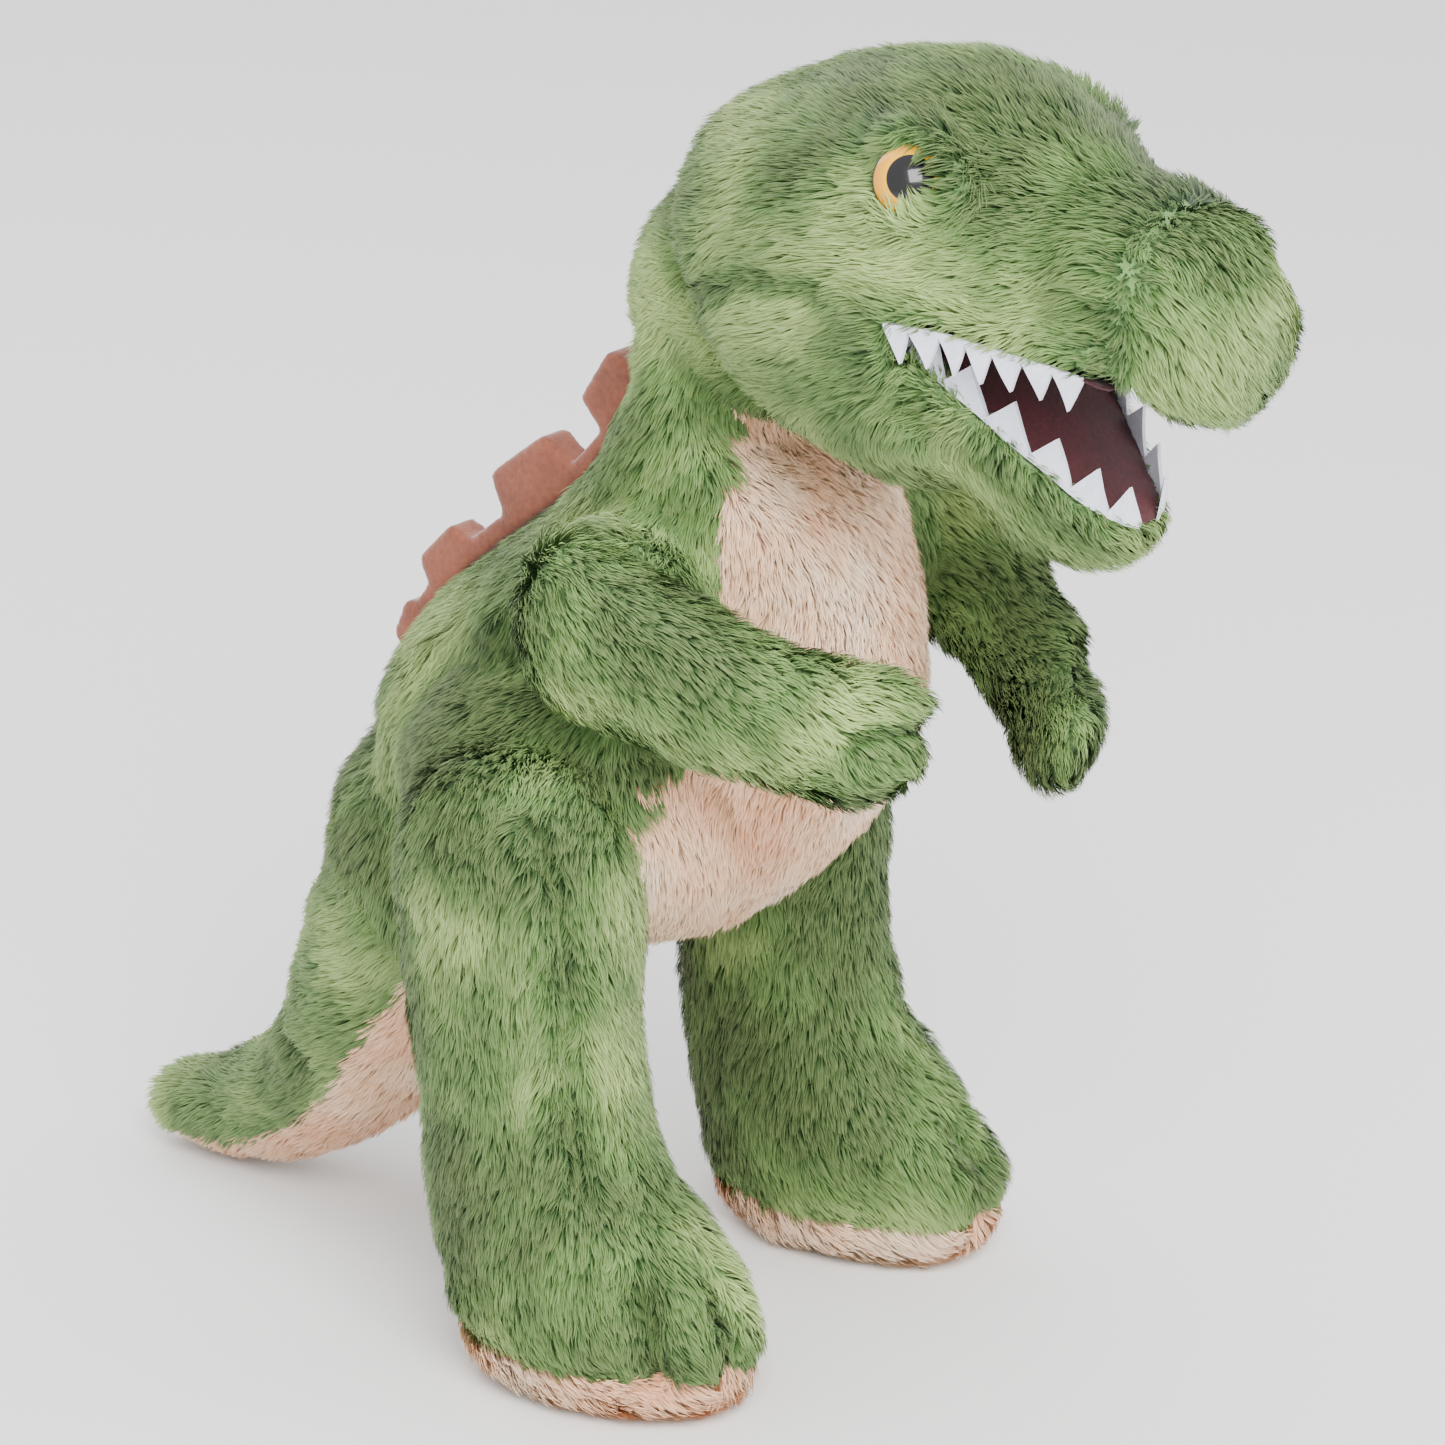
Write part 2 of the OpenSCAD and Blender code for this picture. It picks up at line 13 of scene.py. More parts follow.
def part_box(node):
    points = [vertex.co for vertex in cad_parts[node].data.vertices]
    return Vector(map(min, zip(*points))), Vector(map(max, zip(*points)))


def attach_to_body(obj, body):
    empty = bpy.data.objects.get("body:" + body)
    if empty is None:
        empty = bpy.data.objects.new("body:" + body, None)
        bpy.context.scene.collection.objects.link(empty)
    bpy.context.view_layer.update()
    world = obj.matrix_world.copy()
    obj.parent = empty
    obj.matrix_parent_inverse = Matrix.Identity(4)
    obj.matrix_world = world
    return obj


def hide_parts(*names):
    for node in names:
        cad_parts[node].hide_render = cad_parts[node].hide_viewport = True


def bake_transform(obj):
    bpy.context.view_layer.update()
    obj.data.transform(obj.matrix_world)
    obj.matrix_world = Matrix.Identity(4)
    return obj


MM = 0.001
SEED = 7
# Lengths that stand for none and for far away
TINY = 1e-9
FAR_AWAY = 1e9

# Panels of fabric and the fillings under them, body by body
PANELS = {
    "torso": ["back_panel_right", "back_panel_left", "belly_panel"],
    "head": ["head_gusset", "head_side_right", "head_side_left", "nose_panel", "chin_panel"],
    "arm_right": ["arm_outer_right", "arm_inner_right"],
    "arm_left": ["arm_outer_left", "arm_inner_left"],
    "leg_right": ["leg_outer_right", "leg_inner_right", "sole_right"],
    "leg_left": ["leg_outer_left", "leg_inner_left", "sole_left"],
    "tail": ["tail_top_right", "tail_top_left", "tail_underside"],
}
FILLINGS = {
    "torso": ["body_stuffing"],
    "head": ["head_stuffing", "jaw_stuffing"],
    "arm_right": ["arm_stuffing_right"],
    "arm_left": ["arm_stuffing_left"],
    "leg_right": ["leg_stuffing_right"],
    "leg_left": ["leg_stuffing_left"],
    "tail": ["tail_stuffing"],
}
LININGS = ["mouth_roof_lining", "mouth_floor_lining"]
PEACH = {"belly_panel", "sole_right", "sole_left", "tail_underside"}

# Skins, in millimetres: the fabric lies PILE_DEPTH under the CAD model's surface
VOXEL = 2.6
PILE_DEPTH = 4.6
# Rounds of smoothing before and after the creases, and the steps forwards and back of one round
SMOOTHING = 14
CREASE_SMOOTHING = 2
SMOOTH_STEPS = (0.6, -0.55)
# Corners of one panel within this distance of another lie on the seam between them
SEAM_REACH = 0.3

# Plane waves in a random field, and the range of their frequencies
WAVE_COUNT = 14
WAVE_RANGE = (0.35, 0.75)

# The pile: strands on each square millimetre, and their size in millimetres
DENSITY = 1.9
STRAND_LENGTH = {"green": 9.5, "peach": 8.0}
STRAND_WIDTH = 0.5
LENGTH_RANGE = (0.72, 1.12)
WIDTH_RANGE = (0.75, 1.25)
# Lean of a strand's three segments above the fabric, and how much it varies, in degrees
LEAN = (55, 32, 14)
LEAN_SPREAD = 6
# One strand in CLUMP_SIZE leads a tuft, and draws its neighbours' tips by CLUMP_PULL of the way
CLUMP_SIZE = 12
CLUMP_PULL = 0.42
CLUMP_CURVE = 1.5
# Share of a strand's width at each row of its corners, and its turn about its own length
WIDTH_ALONG = (1.0, 0.95, 0.7)
TWIST = 0.35
# How far a strand starts under the fabric
ROOT_DEPTH = 0.6
# A strand is shaded as part of the coat: mostly by the fabric's normal, and a little by its own direction
SOFT_NORMAL = 0.8
SOFT_TANGENT = 0.35
SOFT_SPREAD = 0.10
# Uneven combing and length, as (size in millimetres, seed, amount)
FLOW_WAVES = [(34, 11, 0.24), (9, 21, 0.16)]
FLOW_SPREAD = 0.13
LENGTH_WAVES = (12, 31, 0.12)
# At a seam or crease the pile parts and gets shorter, and it is painted darker there as painted shade.
# PARTING_REACH and SEAM_FALL set how far from it
PARTING = 1.3
PARTING_REACH = 1.6
SEAM_FALL = 0.8
SEAM_SHORTER = 0.45
# Painted shade along seams and creases: how much darker the fur there is painted
SEAM_PAINTED_SHADE = 0.26

# The way the pile is combed on each body, on the jaw and on the nose. Heights and blends are in millimetres
COMBED = {
    "torso": (0, 0.25, -1.0),
    "head": (0, 1.0, -0.30),
    "arm_right": (0.1, -1.0, -0.35),
    "arm_left": (-0.1, -1.0, -0.55),
    "leg_right": (0, -0.1, -1.0),
    "leg_left": (0, -0.1, -1.0),
    "tail": (0, 1.0, -0.55),
}
JAW_COMBED = (0, -0.55, -0.8)
NOSE_COMBED = (0, -0.8, -0.75)
JAW_TOP = 300
JAW_BLEND = 24
NOSE_BLEND = 8
# Above the hip the leg's pile turns outwards, and below the ankle it turns forwards and level
THIGH_TOP = 40
THIGH_OUTWARDS = 2
ANKLE = 62
ANKLE_FORWARDS = 1.2
FOOT_TOP = 34
FOOT_LEVEL = 0.8
# The green pile is shorter just above the peach sole
HEM_LENGTH = 0.5
HEM_FROM = 16
HEM_BLEND = 12

# At the lips, within LIP_BLEND millimetres, the pile is shorter and raised, and the fabric hardly drawn in
LIP_LENGTH = 0.78
LIP_INSET = 0.1
LIP_BLEND = 13
LIP_RAISED = 0.35
# The peach pile carries on above the belly's panel, up to the throat, and ends ahead of the head's joint
THROAT_HALF = 27
THROAT_BACK = -6
THROAT_OVERLAP = 6
# The eyes, in millimetres: the dome, the skirt under it and how far it is sunk
EYE_RADIUS = 10.2
EYE_DOME = 6.0
EYE_SKIRT = 4.0
EYE_SUNK = 2.6
EYE_RINGS = 24
EYE_AROUND = 64
# Corners of the CAD eye further than this from its washer are on its face
EYE_FACE = 8.0
# No strand grows within EYE_CLEAR of an eye's centre, and the lids reach out to EYE_BLEND
EYE_CLEAR = 8.2
EYE_BLEND = 19
# Where a lid's pile starts round the eye, from -1 behind it to 1 ahead of it, and how it lies
LID_FROM = -0.1
LID_AHEAD = 0.8
LID_ACROSS = 0.6
LID_RISE = 1.6
LID_TURN = 0.9
LID_LENGTH = 0.88
# Radius of the pupil and its soft edge, as shares of the eye's
PUPIL = 0.62
PUPIL_EDGE = 0.01

# Creases on the right limbs, from the limb's joint, as (points, width, depth). The left limbs' are mirrored
LEG_CREASES = [
    ([(-52, -22, 24), (-51, -29, -2), (-49, -31, -32), (-51, -32, -65), (-52, -38, -82)], 3.8, 4.4),
    ([(-51, -56, -104), (-56, -62, -120), (-58, -65, -138)], 4.4, 7.0),
    ([(-30, -66, -103), (-32, -78, -117), (-33, -83, -130), (-33, -86, -143)], 4.4, 7.0),
]
ARM_CREASES = [([(-31, -92, -12), (-11, -98, -12), (6, -94, -12)], 4.2, 6.0)]
# Creases on the head and the tail, from the frame's origin
HEAD_CREASES = [([(-53, -48, 322), (-58, -72, 328), (-58, -94, 329)], 2.4, 2.6)]
TAIL_CREASES = [([(-24, 131, 70), (-34, 114, 55)], 3.0, 2.6)]
# The seam round the nose, as (width, depth), and the panels sewn to the nose along it
NOSE_CREASE = (4.5, 1.2)
ROUND_THE_NOSE = ("head_side_right", "head_side_left", "head_gusset")
# Lids round an eye, as (points, width, depth). Each point lies so far ahead of the eye's centre and above it
LIDS = [
    ([(-7, 10.5), (0, 10), (7, 7), (12, 1)], 4.5, -6.0),
    ([(-3, -11), (4, -10), (10, -5), (13, 0)], 4.0, -4.0),
]

# Radii of the balls that fill the body out, in millimetres, and how far each is moved from its joint
HIP_FILL = (82, 62, 54)
HIP_FILL_BACK = 4
HIP_FILL_UP = 14
SHOULDER_FILL = (31, 28, 30)
SHOULDER_FILL_BACK = 6
TAIL_ROOT = 49
RUMP_FILL = (58, 56, 44)
RUMP_FILL_AT = (0, 36, 170)
# The snout's ball lies this far from the middle of the nose's seam, and is this much wider than it
SNOUT_FILL_MOVED = (0, 9, 5)
SNOUT_FILL_LENGTH = 34
SNOUT_FILL_WIDER = 4
# Radii of the balls inside the head and the tail that close their joints with the torso
JOINT_BALL = {"head": 38, "tail": 42}

# Neighbours whose filling hides part of a body's skin. No pile grows where it lies HIDDEN_DEPTH inside one
NEIGHBOURS = {
    "torso": ["leg_right", "leg_left", "arm_right", "arm_left", "head", "tail"],
    "head": ["torso"],
    "arm_right": ["torso"],
    "arm_left": ["torso"],
    "leg_right": ["torso"],
    "leg_left": ["torso"],
    "tail": ["torso"],
}
HIDDEN_DEPTH = 3.0
# The ray that tells inside from outside, and how far past a crossing it starts again
ALONG_RAY = Vector((0.31, 0.27, 0.91)).normalized()
RAY_STEP = 0.001
MOST_CROSSINGS = 40

# The soles' fabric and pile stay this far above the floor, and little pile grows under the foot
SOLE_GAP = 0.3
FLOOR_GAP = 0.1
SOLE_PILE_FROM = 2.5
UNDERFOOT_SHARE = 0.15

# Limbs whose pieces get no parent, with bend spans from the limb's joint, as (start, end), which this script
# does not read
BENDS = {
    "arm_right": (np.array([0, 14, 0]), np.array([0, -14, 0])),
    "arm_left": (np.array([0, 14, 0]), np.array([0, -14, 0])),
    "leg_right": (np.array([0, 0, 30]), np.array([0, 0, -25])),
    "leg_left": (np.array([0, 0, 30]), np.array([0, 0, -25])),
}

# Places where the fur is painted darker or paler: x, y, z, radius and shift. Partly the dye's own mottling,
# partly painted shade and painted light; the darker places on the far leg and the far arm are painted shade
DYE_AND_PAINTED_SHADING_PATCHES = [
    (-18, -136, 368, 24, -0.22),
    (-29, -119, 372, 15, -0.10),
    (18, -136, 368, 24, -0.14),
    (-15, -189, 341, 17, -0.08),
    (-45, -42, 346, 18, -0.08),
    (-55, -103, 341, 26, 0.11),
    (-58, -79, 316, 25, 0.06),
    (-37, -138, 348, 22, 0.08),
    (-84, -72, 235, 20, -0.12),
    (-83, -58, 243, 17, -0.08),
    (-74, -121, 226, 18, 0.08),
    (-51, 20, 209, 18, -0.05),
    (-86, 3, 184, 26, -0.12),
    (-82, -26, 171, 17, -0.12),
    (-98, 1, 132, 28, 0.10),
    (-88, -26, 123, 12, -0.12),
    (-88, -33, 71, 30, -0.13),
    (-97, -4, 49, 24, -0.12),
    (-51, -60, 47, 18, 0.08),
    # From here to the far arm's two places: painted shade on the far leg and the far arm
    (49, -22, 111, 28, -0.14),
    (36, 1, 76, 22, -0.08),
    (49, -41, 56, 34, -0.15),
    (33, -9, 41, 20, -0.07),
    (55, -71, 211, 22, -0.13),
    (47, -83, 192, 20, -0.10),
    (-15, 149, 44, 18, -0.06),
    (-43, 93, 94, 18, 0.05),
    (-41, 6, 247, 20, 0.08),
    (-43, 52, 204, 18, 0.08),
]

# Back plates, in millimetres and rounds of smoothing before and after the cloth simulation
RIDGE_VOXEL = 1.3
RIDGE_SMOOTHING = 3
PUFFED_SMOOTHING = 2
# The most that the simulation moves a point, the pressure in the plates and how long it runs
RIDGE_PUFF = 1.6
PRESSURE = 4
CLOTH_FRAMES = 15

# The mouth's lining, in millimetres
LINING_VOXEL = 1.3
LINING_INSET = 0.2
LINING_SMOOTHING = 6
# Curl of the felt teeth along x and y, as (size in millimetres, seed, amount)
TOOTH_CURL = [(16, 51, 0.7), (13, 52, 0.5)]
TOOTH_SPLITS = 2

# Colours. Each list of stops is a ramp's places and colours
BLACK = (0.004, 0.004, 0.005)
AMBER = (0.85, 0.42, 0.0)
AMBER_DEEP = (0.72, 0.30, 0.0)
EYE_STOPS = [
    (0.0, BLACK),
    (PUPIL - PUPIL_EDGE, BLACK),
    (PUPIL + PUPIL_EDGE, AMBER),
    (0.86, AMBER_DEEP),
    (0.93, AMBER_DEEP),
    (0.97, BLACK),
]
GREEN_STOPS = [(0.36, (0.018, 0.070, 0.016)), (0.49, (0.078, 0.19, 0.044)), (0.65, (0.34, 0.49, 0.155))]
GREEN_TIP = (0.54, 0.64, 0.25)
PEACH_STOPS = [(0.34, (0.88, 0.42, 0.21)), (0.5, (0.98, 0.60, 0.35)), (0.64, (1.0, 0.76, 0.54))]
PEACH_TIP = (1.0, 0.82, 0.65)
# How much paler the tips are, how they get there, and where the painted shade at the roots ends
TIP_PALER = 0.36
TIP_CURVE = 2.0
ROOT_REACH = 0.55
# Painted shade at the strands' roots: the colour there is multiplied by these
GREEN_ROOT_PAINTED_SHADE = 0.60
PEACH_ROOT_PAINTED_SHADE = 0.78
GREEN_TONES = (0.86, 1.10)
PEACH_TONES = (0.94, 1.05)
MOUTH_STOPS = [(0.3, (0.022, 0.002, 0.004)), (0.7, (0.075, 0.006, 0.011))]
GREEN_KNIT = (0.16, 0.29, 0.09)
GREEN_KNIT_DARK = (0.11, 0.21, 0.06)
PEACH_KNIT = (0.60, 0.38, 0.27)
PEACH_KNIT_DARK = (0.50, 0.30, 0.20)
PLATE_STOPS = [(0.3, (0.14, 0.034, 0.017)), (0.7, (0.30, 0.085, 0.044))]
FELT = (0.74, 0.75, 0.84)
FELT_SHADE = (0.56, 0.57, 0.68)
NYLON = (0.75, 0.75, 0.70)
NYLON_SHADE = (0.68, 0.68, 0.62)
FLOOR_PAINT = (0.86, 0.86, 0.86)
WHITE = (1.0, 1.0, 1.0)

# Numbers of the sockets that Blender's mix node has for colours
MIX_FACTOR, MIX_A, MIX_B, MIX_RESULT = 0, 6, 7, 2

# Sizes of the textures, as bumps to the metre, and how far the finest stand out in metres
DYE_SCALE = 26
KNIT_SCALE = 900
FELT_SCALE = 1600
CLOUD_SCALE = 160
VELOUR_SCALE = 700
PLUSH_SCALE = 500
STROKE_SCALE = 70
KNIT_RELIEF = 0.0005
FELT_RELIEF = 0.0004
VELOUR_RELIEF = 0.0005

# Light and camera. Lengths are in metres and angles in degrees
WORLD_LIGHT = 1.5
# Lamps, as (place, energy, width)
LAMPS = {
    "key": ((-1.1, -1.3, 1.5), 76, 1.2),
    "fill": ((0.9, -1.6, 0.8), 10, 1.5),
    "back": ((0.4, 1.4, 1.4), 10, 1.2),
}
LAMP_TARGET = (0, 0, 0.2)
FLOOR_HALF = 4.0
CAMERA_TURN = -53
CAMERA_RISE = 18.5
CAMERA_DISTANCE = 1.8
CAMERA_VIEW_WIDTH = 0.4104
CAMERA_TARGET = (0, -0.0195, 0.179)
CAMERA_SENSOR = 36.0

rng = np.random.default_rng(SEED)

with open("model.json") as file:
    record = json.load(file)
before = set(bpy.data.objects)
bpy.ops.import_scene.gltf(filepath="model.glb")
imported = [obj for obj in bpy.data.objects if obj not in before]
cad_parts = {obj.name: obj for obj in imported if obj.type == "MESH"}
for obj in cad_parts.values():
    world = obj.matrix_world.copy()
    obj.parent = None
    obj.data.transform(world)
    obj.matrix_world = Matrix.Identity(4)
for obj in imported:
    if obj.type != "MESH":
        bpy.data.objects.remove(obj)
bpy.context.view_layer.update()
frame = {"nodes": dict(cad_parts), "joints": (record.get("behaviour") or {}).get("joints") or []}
nodes = frame["nodes"]
joints = {j["child"]: j for j in frame["joints"]}


def joint_at(body):
    """A body's joint centre, in millimetres."""
    return np.array(joints[body]["pos_m"]) / MM


# ---- vector fields ----

def unit(v):
    """Vectors made one long."""
    return v / np.maximum(np.linalg.norm(v, axis=-1, keepdims=True), TINY)


def eased(t):
    """A smooth step from 0 to 1."""
    t = np.clip(t, 0, 1)
    return t * t * (3 - 2 * t)


def waves(points, size, seed):
    """A smooth random field from about -1 to 1, whose bumps are about size millimetres across."""
    random = np.random.default_rng(seed)
    directions = unit(random.normal(size=(WAVE_COUNT, 3))) * (2 * math.pi / size)
    directions *= random.uniform(*WAVE_RANGE, (WAVE_COUNT, 1))
    phases = random.uniform(0, 2 * math.pi, WAVE_COUNT)
    return np.sin(points @ directions.T + phases).sum(1) / math.sqrt(WAVE_COUNT)


def wave_vectors(points, size, seed):
    """A random field like waves, of vectors."""
    return np.stack([waves(points, size, seed + i) for i in range(3)], 1)


# ---- meshes ----

def mesh_arrays(mesh):
    """A mesh's corners in millimetres, and its triangles."""
    points = np.empty(len(mesh.vertices) * 3, np.float32)
    mesh.vertices.foreach_get("co", points)
    mesh.calc_loop_triangles()
    triangles = np.empty(len(mesh.loop_triangles) * 3, np.int32)
    mesh.loop_triangles.foreach_get("vertices", triangles)
    return points.reshape(-1, 3).astype(float) / MM, triangles.reshape(-1, 3)


def joined(parts):
    """Several (corners, triangles) as one."""
    points, triangles, base = [], [], 0
    for p, t in parts:
        points.append(p)
        triangles.append(t + base)
        base += len(p)
    return np.concatenate(points), np.concatenate(triangles)


def linked(name, data):
    """A new object in the scene."""
    thing = bpy.data.objects.new(name, data)
    bpy.context.scene.collection.objects.link(thing)
    return thing


def new_object(name, points, faces):
    """A mesh object from corners in millimetres and faces."""
    mesh = bpy.data.meshes.new(name)
    mesh.from_pydata((points * MM).tolist(), [], faces.tolist() if isinstance(faces, np.ndarray) else faces)
    mesh.update()
    return linked(name, mesh)


def place_corners(mesh, points):
    """Moves a mesh's corners, in order, to the given points in millimetres."""
    mesh.vertices.foreach_set("co", (points * MM).astype(np.float32).ravel())


def remeshed(points, triangles, voxel):
    """The shape's outer surface in even small faces: its corners and triangles."""
    thing = new_object("remeshing", points, triangles)
    modifier = thing.modifiers.new("remesh", "REMESH")
    modifier.mode = "VOXEL"
    modifier.voxel_size = voxel * MM
    evaluated = thing.evaluated_get(bpy.context.evaluated_depsgraph_get())
    made = bpy.data.meshes.new_from_object(evaluated)
    result = mesh_arrays(made)
    bpy.data.objects.remove(thing)
    bpy.data.meshes.remove(made)
    return largest_island(*result)


def largest_island(points, triangles):
    """The outer surface: the connected part that reaches lowest, or the largest if that one is small."""
    label = np.arange(len(points))
    edges = np.concatenate([triangles[:, [0, 1]], triangles[:, [1, 2]]])
    while True:
        low = np.minimum(label[edges[:, 0]], label[edges[:, 1]])
        before = label.copy()
        np.minimum.at(label, edges[:, 0], low)
        np.minimum.at(label, edges[:, 1], low)
        label = label[label]
        if (label == before).all():
            break
    names, counts = np.unique(label, return_counts=True)
    kept = label == label[np.argmin(points[:, 2])]
    if kept.sum() < counts.max() / 2:
        kept = label == names[np.argmax(counts)]
    place = np.cumsum(kept) - 1
    inside = kept[triangles].all(1)
    return points[kept], place[triangles[inside]]


def smoothed(points, triangles, rounds):
    """Laplacian smoothing with a step back, so that the shape hardly shrinks."""
    count = len(points)
    edges = np.concatenate([triangles[:, [0, 1]], triangles[:, [1, 2]], triangles[:, [2, 0]]])
    degree = np.bincount(edges.ravel(), minlength=count)[:, None]
    for turn in range(rounds * 2):
        total = np.zeros_like(points)
        for axis in range(3):
            total[:, axis] = np.bincount(edges[:, 0], points[edges[:, 1], axis], count)
            total[:, axis] += np.bincount(edges[:, 1], points[edges[:, 0], axis], count)
        step = total / np.maximum(degree, 1) - points
        points = points + step * SMOOTH_STEPS[turn % 2]
    return points


def normals_of(points, triangles):
    """The surface's direction outwards at each corner."""
    a, b, c = (points[triangles[:, i]] for i in range(3))
    face = np.cross(b - a, c - a)
    total = np.zeros_like(points)
    for i in range(3):
        for axis in range(3):
            total[:, axis] += np.bincount(triangles[:, i], face[:, axis], len(points))
    return unit(total)


# ---- where things are on the CAD model ----

cad = {name: mesh_arrays(thing.data) for name, thing in nodes.items()}
trees = {name: BVHTree.FromPolygons(p.tolist(), t.tolist()) for name, (p, t) in cad.items()}


def distance_to(name, points):
    """Distance of each point from a CAD node's surface."""
    tree = trees[name]
    return np.array([tree.find_nearest(Vector(p))[3] for p in points.tolist()])


def seam(a, b):
    """Corners of node a that lie on node b: the line that the two panels are sewn along."""
    tree = trees[b]
    found = [p for p in cad[a][0].tolist() if tree.find_nearest(Vector(p), SEAM_REACH)[0] is not None]
    return np.array(found)


def nearest_of(choices, points):
    """For each point, the index of the nearest choice."""
    tree = KDTree(len(choices))
    for i, choice in enumerate(choices.tolist()):
        tree.insert(choice, i)
    tree.balance()
    return np.array([tree.find(p)[1] for p in points.tolist()])


def away_from(points, line):
    """Distance and direction of each point from the nearest point of a line."""
    offset = points - line[nearest_of(line, points)]
    return np.linalg.norm(offset, axis=1), unit(offset)


def dense(line, step=1.5):
    """A chain of points as a line with a point every step millimetres."""
    line = np.array(line, float)
    parts = []
    for a, b in zip(line[:-1], line[1:]):
        count = max(int(np.linalg.norm(b - a) / step), 1)
        parts.append(a + (b - a) * np.linspace(0, 1, count, endpoint=False)[:, None])
    return np.concatenate(parts + [line[-1:]])


# ---- materials ----

def socket(node, name, value):
    """Sets an input of a shader node."""
    node.inputs[name].default_value = value


def new_material(name):
    """A material with its node tree and its shader."""
    material = bpy.data.materials.new(name)
    material.use_nodes = True
    tree = material.node_tree
    return material, tree, tree.nodes["Principled BSDF"]


def object_place(tree):
    """Where on the object, in metres."""
    return tree.nodes.new("ShaderNodeTexCoord").outputs["Object"]


def attribute(tree, name):
    """A value stored on the mesh's corners."""
    node = tree.nodes.new("ShaderNodeAttribute")
    node.attribute_name = name
    return node


def noise(tree, vector, scale, detail=3.0, roughness=0.55):
    """Cloudy grey from 0 to 1."""
    node = tree.nodes.new("ShaderNodeTexNoise")
    socket(node, "Scale", scale)
    socket(node, "Detail", detail)
    socket(node, "Roughness", roughness)
    tree.links.new(vector, node.inputs["Vector"])
    return node.outputs["Fac"]


def ramp(tree, value, stops):
    """A value turned into a colour by (place, colour) stops."""
    node = tree.nodes.new("ShaderNodeValToRGB")
    elements = node.color_ramp.elements
    while len(elements) < len(stops):
        elements.new(0.5)
    for element, (place, colour) in zip(elements, stops):
        element.position = place
        element.color = (*colour, 1)
    tree.links.new(value, node.inputs["Fac"])
    return node.outputs["Color"]


def mixed(tree, factor, a, b, mode="MIX"):
    """Two colours mixed. Each of factor, a and b is a value or an output."""
    node = tree.nodes.new("ShaderNodeMix")
    node.data_type = "RGBA"
    node.blend_type = mode
    node.clamp_factor = True
    for value, key in ((factor, MIX_FACTOR), (a, MIX_A), (b, MIX_B)):
        if isinstance(value, (int, float)):
            node.inputs[key].default_value = value
        elif isinstance(value, tuple):
            node.inputs[key].default_value = (*value, 1)
        else:
            tree.links.new(value, node.inputs[key])
    return node.outputs[MIX_RESULT]


def calculated(tree, operation, a, b):
    """Arithmetic on two values or outputs."""
    node = tree.nodes.new("ShaderNodeMath")
    node.operation = operation
    for i, value in enumerate((a, b)):
        if isinstance(value, (int, float)):
            node.inputs[i].default_value = value
        else:
            tree.links.new(value, node.inputs[i])
    return node.outputs[0]


def blended(tree, a, share, b):
    """Two values mixed: share of a, and the rest of b."""
    return calculated(
        tree, "ADD", calculated(tree, "MULTIPLY", a, share), calculated(tree, "MULTIPLY", b, 1 - share)
    )


def bumped(tree, shader, height, strength, distance):
    """Fine relief, distance metres deep."""
    node = tree.nodes.new("ShaderNodeBump")
    socket(node, "Strength", strength)
    socket(node, "Distance", distance)
    tree.links.new(height, node.inputs["Height"])
    tree.links.new(node.outputs["Normal"], shader.inputs["Normal"])


def pile_material(name, stops, tip, root_painted_shade, tone_range):
    """Fur: mottled over the body, partly by dye and partly by painted shade and painted light, with painted
    shade at each strand's root, and paler at its tip.
    """
    material, tree, shader = new_material(name)
    root = attribute(tree, "root").outputs["Vector"]
    along = attribute(tree, "along").outputs["Fac"]
    tone = attribute(tree, "tone").outputs["Fac"]
    dye_and_painted_shading = attribute(tree, "dye_and_painted_shading").outputs["Fac"]
    # The dye's mottling, with painted shade and painted light added in places
    mottle_and_painted_shading = calculated(tree, "ADD", noise(tree, root, DYE_SCALE), dye_and_painted_shading)
    colour = ramp(tree, mottle_and_painted_shading, stops)
    pale = calculated(tree, "MULTIPLY", calculated(tree, "POWER", along, TIP_CURVE), TIP_PALER)
    colour = mixed(tree, pale, colour, tip)
    # Painted shade at each strand's root, fading out by ROOT_REACH
    shade = ramp(tree, along, [(0.0, (root_painted_shade,) * 3), (ROOT_REACH, WHITE)])
    colour = mixed(tree, 1.0, colour, shade, "MULTIPLY")
    low, high = tone_range
    strand = ramp(tree, tone, [(0.0, (low,) * 3), (1.0, (high,) * 3)])
    colour = mixed(tree, 1.0, colour, strand, "MULTIPLY")
    tree.links.new(colour, shader.inputs["Base Color"])
    socket(shader, "Roughness", 0.62)
    socket(shader, "Sheen Weight", 0.06)
    socket(shader, "Sheen Roughness", 0.5)
    socket(shader, "Specular IOR Level", 0.14)
    return material


def backing_material(name, colour, dark):
    """The knitted fabric under the pile."""
    material, tree, shader = new_material(name)
    knit = noise(tree, object_place(tree), KNIT_SCALE, detail=2.0)
    tree.links.new(ramp(tree, knit, [(0.3, dark), (0.7, colour)]), shader.inputs["Base Color"])
    bumped(tree, shader, knit, 0.4, KNIT_RELIEF)
    socket(shader, "Roughness", 0.9)
    socket(shader, "Sheen Weight", 0.2)
    return material


def felt_material(name, colour, shade):
    """Pressed felt: short tangled fibres and faint clouds."""
    material, tree, shader = new_material(name)
    place = object_place(tree)
    fibres = noise(tree, place, FELT_SCALE, detail=4.0, roughness=0.7)
    clouds = noise(tree, place, CLOUD_SCALE, detail=2.0)
    both = blended(tree, fibres, 0.6, clouds)
    tree.links.new(ramp(tree, both, [(0.36, shade), (0.62, colour)]), shader.inputs["Base Color"])
    bumped(tree, shader, fibres, 0.5, FELT_RELIEF)
    socket(shader, "Roughness", 0.95)
    socket(shader, "Sheen Weight", 0.4)
    return material


